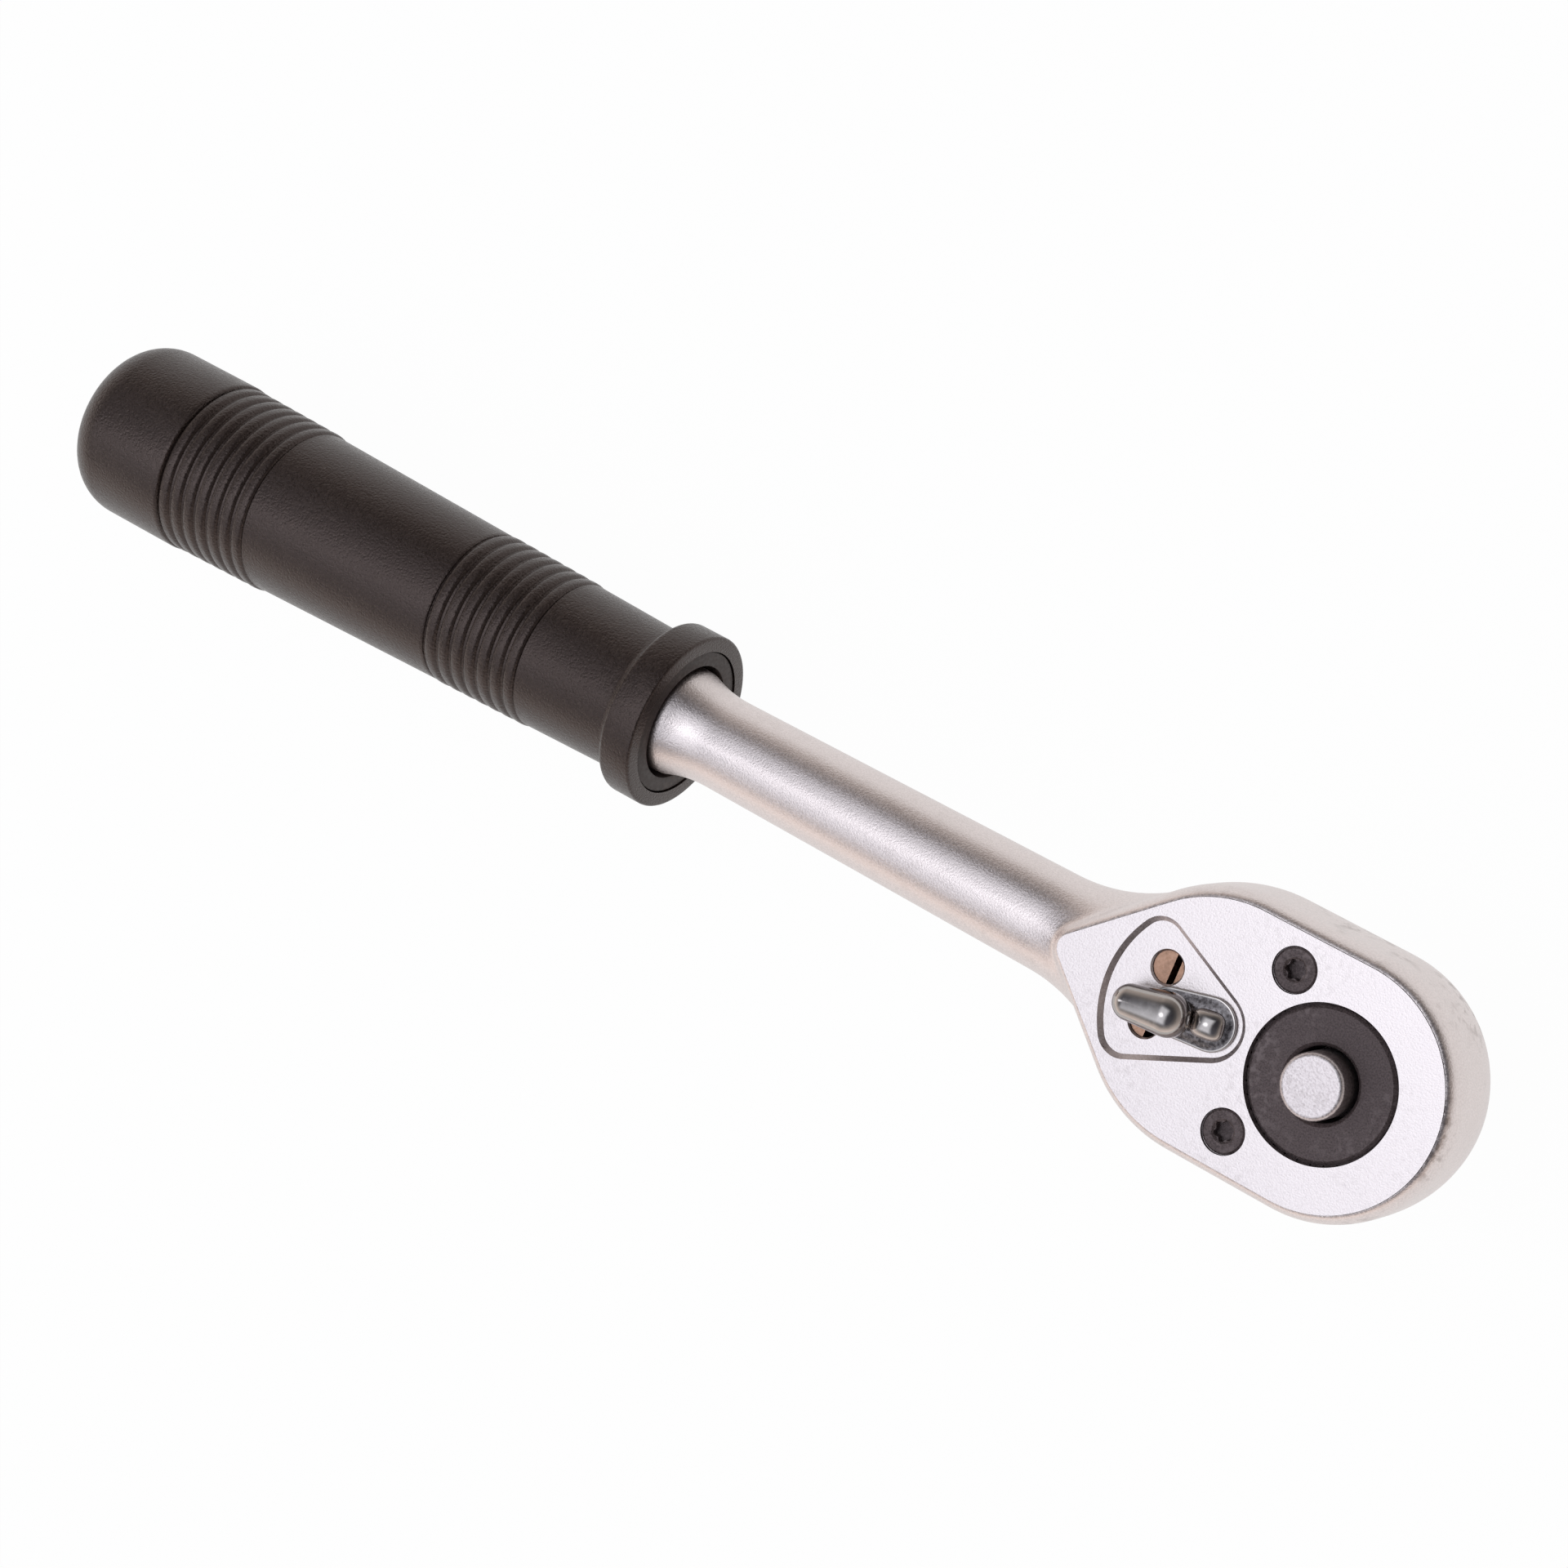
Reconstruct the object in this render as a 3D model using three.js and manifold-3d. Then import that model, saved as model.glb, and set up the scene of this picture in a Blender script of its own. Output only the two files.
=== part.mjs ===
// Reversible ratchet with a quick-release square drive and a moulded grip.
// Millimetres. The origin is the centre of the drive square's end face. +Z runs up the drive axis to the
// cover plate, +X points to the nose of the head, and the handle lies along -X.

import * as THREE from 'three';
import { mergeVertices } from 'three/addons/utils/BufferGeometryUtils.js';
import Module from 'manifold-3d';

// Overall
const overallLength = 253.3;

// Clearances that several pieces share
const runningClearance = 0.1;
const cavityClearance = 0.4;
const springGap = 0.05;
const overcut = 1;

// Drive square and its gear
const squareAcross = 12.7;
const squareLength = 15.5;
const squareCornerRadius = 1.2;
const squareEndChamfer = 1;
const journalMargin = 0.32;
const journalStand = 0.8;
const hubRadius = 10.85;
const hubChamfer = 0.5;
const hubDrop = 0.2;
const hubLedge = 0.15;
const gearTeeth = 36;
const gearToothDepth = 1.15;
const toothFlatShare = 0.18;

// Head
const headWall = 5.1;
const headThickness = 18.2;
const shoulderLead = 0.8;
const shoulderRadius = 19.5;
const flankAngle = THREE.MathUtils.degToRad(42);
const tipRadius = 2.2;
const rimWidth = 0.2;
const rimDrop = 0.1;
const wallBulge = 1.4;
const lowerEdgeRadius = 2.2;
const floorThickness = 3.2;

// Neck, shank and tang
const neckFilletRadius = 23;
const shankRadiusAtHead = 7.55;
const shankRadiusAtGrip = 7;
const flareRise = 1.5;
const flareLength = 7.5;
const tangStep = 0.4;
const tangEndSetback = 28.5;
const tangChamfer = 1.5;

// Cover plate
const plateThickness = 1.2;
const plateEdgeChamfer = 0.2;
const plateClearance = 0.1;
const hubClearance = 0.35;
const recessDepth = 0.7;
const recessWall = 1.3;
const recessEdgeMargin = 1.23;
const recessCornerRadius = 3.8;
const recessSideAngle = THREE.MathUtils.degToRad(25);
const sightHoleRadius = 2.35;
const sightHoleChamfer = 0.25;
const sightHoleReach = 10;
const sightHoleAngle = THREE.MathUtils.degToRad(24.3);

// Cover screws
const screwAngle = THREE.MathUtils.degToRad(51.5);
const screwHeadRadius = 3.2;
const screwRimHeight = 0.5;
const screwThreadRadius = 2;
const screwThreadWall = 1.26;
const screwLength = 8;
const screwDrop = 0.15;
const screwClearance = 0.12;
const lobeSocketRadius = 1.4;
const lobeDepth = 0.18;
const lobeSocketDepth = 1.6;

// Reversing lever, shaft and pawl
const leverThrow = THREE.MathUtils.degToRad(10);
const tabRadius = 3.9;
const tabGap = 0.7;
const tabThickness = 1.2;
const tabEndHalfWidth = 3.4;
const tabReach = 6.4;
const knobStart = 5.9;
const knobStartRadius = 3.05;
const knobEnd = 10.9;
const knobEndRadius = 2.6;
const knobRise = 2.2;
const shaftRadius = 2.6;
const shaftKeyAcross = 4;
const keyCornerRadius = 0.2;
const shaftFootFloor = 1;
const tenonShoulder = 0.4;
const tenonWidth = 3.6;
const tenonCornerRadius = 1;
const peenOverhang = 0.3;
const peenHeight = 1.1;
const peenDomeShare = 0.93;
const peenCornerShare = 0.42;
const pawlBackReach = 7.65;
const pawlBackHalfWidth = 8.2;
const pawlWingHalfWidth = 7.6;
const pawlToothReach = 1;
const pawlWingBack = 1.5;
const pawlGearClearance = 0.12;
const toothedSwing = THREE.MathUtils.degToRad(6);
const pocketBackGap = 0.95;
const pocketCornerRadius = 1.5;

// Pawl plunger and spring
const plungerRadius = 2.3;
const plungerLength = 8;
const plungerWall = 0.55;
const plungerBoreDepth = 6;
const plungerChamfer = 0.3;
const plungerTravel = 1.2;
const pawlSpringWire = 0.6;
const pawlSpringLength = 14;
const pawlSpringTurns = 8;

// Quick release
const buttonRadius = 4.7;
const buttonStand = 3.7;
const buttonTopRound = 0.7;
const buttonSkirt = 2.5;
const buttonTravel = 3;
const buttonClearance = 0.6;
const buttonWellDepth = 9.5;
const pinRadius = 2.5;
const pinClearance = 0.2;
const pinFootLength = 1;
const pinEndGap = 0.6;
const releaseSpringWire = 0.7;
const releaseSpringTurns = 4;
const ballRadius = 2.4;
const ballStand = 1.1;
const ballHeight = 7.5;
const ballClearance = 0.12;
const ballLipGap = 0.09;
const ballLipThickness = 0.25;
const ballRetreatShare = 0.4;

// Seal ring in the journal
const sealGrooveDepth = 1.15;
const sealSideGap = 0.2;
const sealClearance = 0.05;

// Grip
const gripFrontSetback = 115.4;
const flangeWidth = 7.8;
const flangeWall = 2.5;
const flangeRound = 1.8;
const flangeBackWall = 2.1;
const waistLength = 17.8;
const waistFlat = 2;
const bandRadiusFront = 12.15;
const midRadiusFront = 12.65;
const midRadiusBack = 13.45;
const bandRadiusBack = 13.95;
const buttRadius = 14.4;
const frontBandLength = 18;
const backBandLength = 19.6;
const buttPlainLength = 20.55;
const ribsPerBand = 8;
const ribDepth = 0.55;
const ribFlatShare = 0.55;
const buttRoundLength = 7;
const buttFlatRadius = 7.6;
const buttCrown = 0.9;
const gripWallAtButt = 7;
const sleeveWall = 2.2;
const coreWall = 2.7;
const coreCollarWall = 2;
const coreFaceDrop = 0.5;
const coreMouthFloor = 0.7;
const flareGap = 1;
const gripClearance = 0.15;

// Facets
const roundSides = 36;
const shankSides = 28;
const smallSides = 20;
const gripSides = 22;
const coilSteps = 8;
const wireSides = 5;
const sealSides = 6;
const ballRings = 10;
const knobRings = 5;
const neckSteps = 9;
const flareSteps = 4;
const roundSteps = 4;
const flangeSteps = 3;
const pawlCutSteps = 7;

// Levels up the drive axis
const headBottom = squareLength + journalStand;
const plateTop = headBottom + headThickness;
const plateSeat = plateTop - plateThickness;
const cavityFloor = headBottom + floorThickness;
const shankHeight = headBottom + headThickness / 2;
const hubTop = plateTop - hubDrop;
const gearBottom = cavityFloor + runningClearance;
const gearTop = plateSeat - runningClearance;
const recessFloor = plateTop - recessDepth;
const tabBottom = recessFloor + runningClearance;
const tabTop = tabBottom + tabThickness;
const sealHeight = headBottom + floorThickness / 2;
const shaftFootBottom = cavityFloor - floorThickness + shaftFootFloor;

// Sizes and places that follow from the sizes above
const journalRadius = squareAcross * Math.SQRT1_2 + journalMargin;
const sealSection = sealGrooveDepth + runningClearance - 2 * sealClearance;
const gearTipRadius = hubRadius + hubLedge + gearToothDepth;
const headRadius = gearTipRadius + cavityClearance + headWall;
const recessApexRadius = tabRadius + tabGap + recessDepth;
const leverSetback = hubRadius + hubClearance + recessWall + recessApexRadius;
const leverX = -leverSetback;
const shoulderSetback = leverSetback - shoulderLead;
const screwReach = gearTipRadius + cavityClearance + screwThreadWall + screwThreadRadius;
const screwX = -screwReach * Math.cos(screwAngle);
const screwY = screwReach * Math.sin(screwAngle);
const tenonLength = 2 * (shaftRadius - tenonShoulder);
const pawlWingFront = leverSetback - gearTipRadius + pawlToothReach;
const pawlRidge = pawlBackReach / Math.cos(leverThrow);
const pawlHeel = pawlRidge - pawlBackHalfWidth * Math.tan(leverThrow);
const pocketBackX = leverX - pawlBackReach - pocketBackGap;
const plungerFaceX = leverX - pawlRidge - runningClearance;
const plungerBackX = plungerFaceX - plungerLength;
const plungerBoreRadius = plungerRadius - plungerWall;
const pawlSpringRadius = plungerBoreRadius - runningClearance - pawlSpringWire / 2;
const buttonWellRadius = buttonRadius + buttonClearance;
const buttonWellFloor = hubTop - buttonWellDepth;
const releaseSpringRadius = (pinRadius + buttonRadius) / 2;
const ballCentre = squareAcross / 2 + ballStand - ballRadius;
const ballHoleRadius = ballRadius + ballClearance;
const rampRadius = ballCentre - ballHoleRadius * Math.hypot(1, ballRetreatShare);
const rampStart = ballHeight - (pinRadius - rampRadius) / ballRetreatShare;
const pinEnd = rampStart - pinFootLength;
const pinBoreEnd = pinEnd - buttonTravel - pinEndGap;
const bodyEdge = plateClearance + rimWidth;
const noseX = headRadius + bodyEdge + wallBulge;
const buttX = noseX - overallLength;
const gripFrontX = -gripFrontSetback;
const gripLength = gripFrontX - buttX;
const frontBandStart = flangeWidth + waistLength;
const frontBandEnd = frontBandStart + frontBandLength;
const backBandEnd = gripLength - buttPlainLength;
const backBandStart = backBandEnd - backBandLength;
const flareRadius = shankRadiusAtGrip + flareRise;
const tangRadius = shankRadiusAtGrip - tangStep;
const tangLength = gripLength - tangEndSetback;
const coreRadius = tangRadius + coreWall;
const coreMouthRadius = flareRadius + flareGap;
const coreCollarRadius = coreMouthRadius + coreCollarWall;
const coreCollarBack = flangeWidth - flangeBackWall;
const coreMouthDepth = coreCollarBack - coreMouthFloor;
const flangeRadius = coreCollarRadius + flangeWall;
const waistRadius = coreRadius + sleeveWall;
const sleeveBoreDepth = gripLength - gripWallAtButt;

const wasm = await Module();
wasm.setup();

// Solids from geometries, and back

function closedGeometry(geometry) {
  const bare = new THREE.BufferGeometry();
  bare.setAttribute('position', geometry.getAttribute('position'));
  bare.setIndex(geometry.index);
  const merged = mergeVertices(bare, 1e-4);
  const corners = merged.index.array;
  const kept = [];
  for (let i = 0; i < corners.length; i += 3) {
    const [a, b, c] = corners.slice(i, i + 3);
    if (a !== b && b !== c && c !== a) {
      kept.push(a, b, c);
    }
  }
  merged.setIndex(kept);
  return merged;
}

function solid(geometry) {
  const merged = closedGeometry(geometry);
  const vertProperties = new Float32Array(merged.getAttribute('position').array);
  const triVerts = new Uint32Array(merged.index.array);
  return new wasm.Manifold(new wasm.Mesh({ numProp: 3, vertProperties, triVerts }));
}

function joined(...pieces) {
  return pieces.reduce((whole, piece) => whole.add(piece));
}

function cutBy(whole, ...cutters) {
  return cutters.reduce((rest, cutter) => rest.subtract(cutter), whole);
}

function meshGeometry(body) {
  const { vertProperties, triVerts } = body.getMesh();
  const geometry = new THREE.BufferGeometry();
  geometry.setAttribute('position', new THREE.BufferAttribute(vertProperties, 3));
  geometry.setIndex(new THREE.BufferAttribute(triVerts, 1));
  return closedGeometry(geometry);
}

// Forms

function arc(centreA, centreB, radius, start, end, steps) {
  return Array.from({ length: steps + 1 }, (_, i) => {
    const angle = start + (end - start) * i / steps;
    return [centreA + radius * Math.cos(angle), centreB + radius * Math.sin(angle)];
  });
}

// A profile is a list of [radius, position along the axis].
function lathe(profile, sides) {
  return new THREE.LatheGeometry(profile.map(([radius, along]) => new THREE.Vector2(radius, along)), sides);
}

function turnedOnZ(profile, sides = roundSides) {
  return solid(lathe(profile, sides).rotateX(Math.PI / 2));
}

function turnedOnX(profile, sides = roundSides) {
  return solid(lathe(profile, sides).rotateZ(-Math.PI / 2).translate(0, 0, shankHeight));
}

function discOnZ(radius, bottom, top, sides = roundSides, x = 0, y = 0) {
  const profile = [[0, bottom], [radius, bottom], [radius, top], [0, top]];
  return solid(lathe(profile, sides).rotateX(Math.PI / 2).translate(x, y, 0));
}

// An outline is a counter-clockwise loop of arcs, joined by straight lines.
// Each arc is [centre x, centre y, radius, start angle, end angle].
function outline(arcs, sides = roundSides) {
  const points = arcs.flatMap(([x, y, radius, start, end]) => {
    const steps = Math.max(2, Math.round((end - start) / (Math.PI * 2) * sides));
    return arc(x, y, radius, start, end, steps).map((place) => new THREE.Vector2(...place));
  });
  return points.filter((point, i) => point.distanceTo(points.at(i - 1)) > 1e-3);
}

function prism(points, bottom, top) {
  const settings = { depth: top - bottom, bevelEnabled: false };
  return new THREE.ExtrudeGeometry(new THREE.Shape(points), settings).translate(0, 0, bottom);
}

// Rings of equally many points, counter-clockwise from above, from the lowest to the highest.
function loft(rings) {
  const count = rings[0].points.length;
  const positions = rings.flatMap(({ points, level }) => points.flatMap(({ x, y }) => [x, y, level]));
  const corners = [];
  for (let ring = 0; ring < rings.length - 1; ring += 1) {
    for (let i = 0; i < count; i += 1) {
      const low = ring * count + i;
      const lowNext = ring * count + (i + 1) % count;
      corners.push(low, lowNext, lowNext + count, low, lowNext + count, low + count);
    }
  }
  const top = (rings.length - 1) * count;
  THREE.ShapeUtils.triangulateShape(rings[0].points, []).forEach(([a, b, c]) => corners.push(a, c, b));
  THREE.ShapeUtils.triangulateShape(rings[rings.length - 1].points, []).forEach(([a, b, c]) => {
    corners.push(top + a, top + b, top + c);
  });
  const geometry = new THREE.BufferGeometry();
  geometry.setAttribute('position', new THREE.Float32BufferAttribute(positions, 3));
  geometry.setIndex(corners);
  return geometry;
}

function roundedRectangle(length, width, radius, sides = smallSides) {
  const x = length / 2 - radius;
  const y = width / 2 - radius;
  const right = Math.PI / 2;
  return outline([
    [x, y, radius, 0, right],
    [-x, y, radius, right, 2 * right],
    [-x, -y, radius, 2 * right, 3 * right],
    [x, -y, radius, 3 * right, 4 * right],
  ], sides);
}

class Helix extends THREE.Curve {
  constructor(radius, length, turns) {
    super();
    Object.assign(this, { radius, length, turns });
  }

  getPoint(t, target = new THREE.Vector3()) {
    const angle = t * this.turns * 2 * Math.PI;
    return target.set(this.radius * Math.cos(angle), this.radius * Math.sin(angle), t * this.length);
  }
}

// A coil standing on z = 0, `height` tall over its wire.
function coil(radius, wire, height, turns) {
  const section = new THREE.Shape(outline([[0, 0, wire / 2, 0, Math.PI * 2]], wireSides));
  const extrudePath = new Helix(radius, height - wire, turns);
  const settings = { steps: turns * coilSteps, extrudePath };
  return closedGeometry(new THREE.ExtrudeGeometry(section, settings)).translate(0, 0, wire / 2);
}

// Head outline, grown by `grow`: nose arc, straight cheeks, shoulders, flanks and a small tip over the neck

const shoulderY = headRadius - shoulderRadius;
const flankNormal = [-Math.sin(flankAngle), Math.cos(flankAngle)];
const flankDistance = flankNormal[0] * -shoulderSetback + flankNormal[1] * shoulderY + shoulderRadius;
const tipX = (flankDistance - tipRadius) / flankNormal[0];

function headRing(level, grow) {
  const right = Math.PI / 2;
  const points = outline([
    [0, 0, headRadius + grow, -right, right],
    [-shoulderSetback, shoulderY, shoulderRadius + grow, right, right + flankAngle],
    [tipX, 0, tipRadius + grow, right + flankAngle, 3 * right - flankAngle],
    [-shoulderSetback, -shoulderY, shoulderRadius + grow, 3 * right - flankAngle, 3 * right],
  ]);
  return { points, level };
}

// The head's wall is a barrel, with its lower edge rounded.
function wallGrow(level) {
  const fromMiddle = (level - shankHeight) / (headThickness / 2);
  const intoEdge = Math.max(0, lowerEdgeRadius - (level - headBottom));
  const edgeCut = lowerEdgeRadius - Math.sqrt(lowerEdgeRadius ** 2 - intoEdge ** 2);
  return bodyEdge + wallBulge * (1 - fromMiddle ** 2) - edgeCut;
}

function headBlank() {
  const edgeLevels = [0, 0.12, 0.35, 0.65].map((share) => headBottom + lowerEdgeRadius * share);
  const rimTop = plateTop - rimDrop;
  const wallSteps = 7;
  const wallStart = headBottom + lowerEdgeRadius;
  const wallLevels = Array.from({ length: wallSteps + 1 }, (_, i) => (
    wallStart + (rimTop - wallStart) * i / wallSteps
  ));
  return solid(loft([...edgeLevels, ...wallLevels].map((level) => headRing(level, wallGrow(level)))));
}

// Neck, shank and tang, turned about the shank's axis. The neck's hollow sweep is tangent to the flanks.
function shankBlank() {
  const sweepRadial = shankRadiusAtHead + neckFilletRadius;
  const wallDistance = flankDistance + bodyEdge + wallBulge;
  const sweepX = (wallDistance + neckFilletRadius - flankNormal[1] * sweepRadial) / flankNormal[0];
  const sweep = arc(sweepRadial, sweepX, neckFilletRadius, Math.PI, Math.PI - flankAngle, neckSteps);
  const [endRadius, endX] = sweep[sweep.length - 1];
  const flareArcRadius = (flareLength ** 2 + flareRise ** 2) / (2 * flareRise);
  const flareX = gripFrontX + flareLength;
  const flareAngle = Math.asin(flareLength / flareArcRadius);
  const flareCentre = shankRadiusAtGrip + flareArcRadius;
  const flare = arc(flareCentre, flareX, flareArcRadius, Math.PI + flareAngle, Math.PI, flareSteps);
  const collarBack = alongGrip(coreMouthDepth);
  const tangEnd = alongGrip(tangLength) + gripClearance;
  return turnedOnX([
    [0, tangEnd],
    [tangRadius - tangChamfer, tangEnd],
    [tangRadius, tangEnd + tangChamfer],
    [tangRadius, collarBack],
    [flareRadius, collarBack],
    ...flare,
    ...sweep,
    [endRadius, endX + overcut],
    [0, endX + overcut],
  ], shankSides);
}

// How far to the side a corner of the pawl swings, over the throw either way
function sweptHalfWidth(reach, halfWidth) {
  const angle = Math.min(Math.PI / 2, Math.atan2(halfWidth, reach) + leverThrow);
  return Math.hypot(reach, halfWidth) * Math.sin(angle);
}

function pawlPocket() {
  const front = -gearTipRadius / 2;
  const wingSwing = sweptHalfWidth(pawlWingFront, pawlWingHalfWidth);
  const heelSwing = sweptHalfWidth(pawlHeel, pawlBackHalfWidth);
  const halfWidth = Math.max(wingSwing, heelSwing) + cavityClearance;
  const length = front - pocketBackX;
  const points = roundedRectangle(length, 2 * halfWidth, pocketCornerRadius);
  return solid(prism(points, cavityFloor, plateSeat + overcut).translate(pocketBackX + length / 2, 0, 0));
}

function screwPlaces() {
  return [['left', screwY], ['right', -screwY]];
}

function ratchetBody() {
  const slab = new THREE.BoxGeometry(overallLength, 4 * headRadius, headThickness - rimDrop);
  slab.translate(-overallLength / 2, 0, headBottom + (headThickness - rimDrop) / 2);
  const shank = shankBlank().intersect(solid(slab));
  const plateBed = solid(loft([
    headRing(plateSeat, plateClearance), headRing(plateTop + overcut, plateClearance),
  ]));
  const gearWell = discOnZ(gearTipRadius + cavityClearance, cavityFloor, plateSeat + overcut);
  const journalBore = discOnZ(journalRadius + runningClearance, headBottom - overcut, cavityFloor + overcut);
  const footHole = discOnZ(
    shaftKeyAcross / 2 + runningClearance, shaftFootBottom, cavityFloor + overcut, smallSides, leverX,
  );
  const screwHoles = screwPlaces().map(([, y]) => discOnZ(
    screwThreadRadius + screwClearance, plateTop - screwLength - overcut, plateTop, smallSides, screwX, y,
  ));
  const boreEnd = plungerBackX - (pawlSpringLength - plungerBoreDepth) - plungerTravel - 2 * springGap;
  const boreRadius = plungerRadius + runningClearance;
  const boreMouth = pocketBackX + overcut;
  const plungerBore = turnedOnX(
    [[0, boreEnd], [boreRadius, boreEnd], [boreRadius, boreMouth], [0, boreMouth]], smallSides,
  );
  return cutBy(
    joined(headBlank(), shank), plateBed, gearWell, pawlPocket(), journalBore, footHole, ...screwHoles, plungerBore,
  );
}

// Lever recess in the cover plate: arcs about the lever's pivot joined by straight sides. Its outer corners
// stop short of the head's flanks by the edge margin.

function recessRing(level, grow) {
  const outward = [Math.sin(recessSideAngle), Math.cos(recessSideAngle)];
  const sideways = [-Math.cos(recessSideAngle), Math.sin(recessSideAngle)];
  const inward = recessApexRadius - recessCornerRadius;
  const towardFlank = (direction) => flankNormal[0] * direction[0] + flankNormal[1] * direction[1];
  const room = flankDistance - recessEdgeMargin - recessCornerRadius - towardFlank([leverX, 0]);
  const along = (room - inward * towardFlank(outward)) / towardFlank(sideways);
  const cornerX = sideways[0] * along + outward[0] * inward;
  const cornerY = sideways[1] * along + outward[1] * inward;
  const recessReach = Math.hypot(along, inward) + recessCornerRadius;
  const sideNormal = Math.atan2(outward[1], outward[0]);
  const cornerAngle = Math.atan2(cornerY, cornerX);
  const turn = Math.PI * 2;
  const points = outline([
    [leverX, 0, recessApexRadius + grow, -sideNormal, sideNormal],
    [leverX + cornerX, cornerY, recessCornerRadius + grow, sideNormal, cornerAngle],
    [leverX, 0, recessReach + grow, cornerAngle, turn - cornerAngle],
    [leverX + cornerX, -cornerY, recessCornerRadius + grow, turn - cornerAngle, turn - sideNormal],
  ]);
  return { points, level };
}

// The screw's head and its seat share one cone. The clearance widens only the straight walls.
function screwCountersink(clearance) {
  const rimBottom = plateTop - screwDrop - screwRimHeight;
  const lift = clearance * (rimBottom - plateSeat) / (screwHeadRadius - screwThreadRadius);
  return [
    [screwThreadRadius + clearance, plateSeat + lift],
    [screwHeadRadius + clearance, rimBottom + lift],
  ];
}

function coverPlate() {
  const blank = solid(loft([
    headRing(plateSeat, 0),
    headRing(plateTop - plateEdgeChamfer, 0),
    headRing(plateTop, -plateEdgeChamfer),
  ]));
  const below = plateSeat - overcut;
  const above = plateTop + overcut;
  const hubHole = discOnZ(hubRadius + hubClearance, below, above);
  const recess = solid(loft([recessRing(recessFloor, -recessDepth), recessRing(above, overcut)]));
  const shaftHole = discOnZ(shaftRadius + runningClearance, below, plateTop, smallSides, leverX);
  const sightHoles = [1, -1].map((side) => {
    const x = leverX - sightHoleReach * Math.cos(sightHoleAngle);
    const y = side * sightHoleReach * Math.sin(sightHoleAngle);
    const rim = sightHoleRadius + sightHoleChamfer;
    return solid(lathe([
      [0, below],
      [sightHoleRadius, below],
      [sightHoleRadius, recessFloor - sightHoleChamfer],
      [rim, recessFloor],
      [rim, above],
      [0, above],
    ], smallSides).rotateX(Math.PI / 2).translate(x, y, 0));
  });
  const seat = screwCountersink(screwClearance);
  const screwSeats = screwPlaces().map(([, y]) => solid(lathe([
    [0, below],
    [seat[0][0], below],
    ...seat,
    [seat[1][0], above],
    [0, above],
  ], smallSides).rotateX(Math.PI / 2).translate(screwX, y, 0)));
  return cutBy(blank, hubHole, recess, shaftHole, ...sightHoles, ...screwSeats);
}

function coverScrew(y) {
  const headTop = plateTop - screwDrop;
  const screw = solid(lathe([
    [0, plateTop - screwLength],
    [screwThreadRadius, plateTop - screwLength],
    ...screwCountersink(0),
    [screwHeadRadius, headTop],
    [0, headTop],
  ], smallSides).rotateX(Math.PI / 2));
  const lobes = 6;
  const stepsPerLobe = 6;
  const socket = Array.from({ length: lobes * stepsPerLobe }, (_, i) => {
    const angle = i / (lobes * stepsPerLobe) * Math.PI * 2;
    const radius = lobeSocketRadius + lobeDepth * Math.cos(lobes * angle);
    return new THREE.Vector2(radius * Math.cos(angle), radius * Math.sin(angle));
  });
  const cut = screw.subtract(solid(prism(socket, headTop - lobeSocketDepth, headTop + overcut)));
  return meshGeometry(cut).translate(screwX, y, 0);
}

// Gear with its hub, journal and square

function gearOutline(grow) {
  const pitch = Math.PI * 2 / gearTeeth;
  const flat = pitch * toothFlatShare / 2;
  const rootRadius = gearTipRadius - gearToothDepth + grow;
  const tipFlat = flat + grow / gearTipRadius;
  const rootFlat = Math.max(flat - grow / gearTipRadius, flat / 4);
  const points = Array.from({ length: gearTeeth }, (_, tooth) => {
    const middle = tooth * pitch;
    return [
      [gearTipRadius + grow, middle - tipFlat],
      [gearTipRadius + grow, middle + tipFlat],
      [rootRadius, middle + pitch / 2 - rootFlat],
      [rootRadius, middle + pitch / 2 + rootFlat],
    ];
  }).flat();
  return points.map(([radius, angle]) => (
    new THREE.Vector2(radius * Math.cos(angle), radius * Math.sin(angle))
  ));
}

function squareRing(level, inset) {
  const across = squareAcross - 2 * inset;
  return { points: roundedRectangle(across, across, squareCornerRadius), level };
}

function driveGear() {
  const square = solid(loft([
    squareRing(0, squareEndChamfer), squareRing(squareEndChamfer, 0), squareRing(squareLength + overcut, 0),
  ]));
  const grooveLow = sealHeight - sealSection / 2 - sealSideGap;
  const grooveHigh = sealHeight + sealSection / 2 + sealSideGap;
  const journal = turnedOnZ([
    [0, squareLength],
    [journalRadius, squareLength],
    [journalRadius, grooveLow],
    [journalRadius - sealGrooveDepth, grooveLow],
    [journalRadius - sealGrooveDepth, grooveHigh],
    [journalRadius, grooveHigh],
    [journalRadius, gearBottom + overcut],
    [0, gearBottom + overcut],
  ]);
  const gear = solid(prism(gearOutline(0), gearBottom, gearTop));
  const hub = turnedOnZ([
    [0, gearTop - overcut],
    [hubRadius, gearTop - overcut],
    [hubRadius, hubTop - hubChamfer],
    [hubRadius - hubChamfer, hubTop],
    [0, hubTop],
  ]);
  const pinBoreRadius = pinRadius + pinClearance;
  const bore = turnedOnZ([
    [0, pinBoreEnd],
    [pinBoreRadius, pinBoreEnd],
    [pinBoreRadius, buttonWellFloor],
    [buttonWellRadius, buttonWellFloor],
    [buttonWellRadius, hubTop - hubChamfer],
    [buttonWellRadius + hubChamfer, hubTop],
    [buttonWellRadius + hubChamfer, hubTop + overcut],
    [0, hubTop + overcut],
  ]);
  const lipStart = squareAcross / 2 - ballLipThickness;
  const ballLipRadius = Math.sqrt(ballRadius ** 2 - (lipStart - ballCentre) ** 2) + ballLipGap;
  const ballHole = solid(lathe([
    [0, 0],
    [ballHoleRadius, 0],
    [ballHoleRadius, lipStart],
    [ballLipRadius, lipStart],
    [ballLipRadius, squareAcross],
    [0, squareAcross],
  ], smallSides).translate(0, 0, ballHeight));
  return cutBy(joined(square, journal, gear, hub), bore, ballHole);
}

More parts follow.
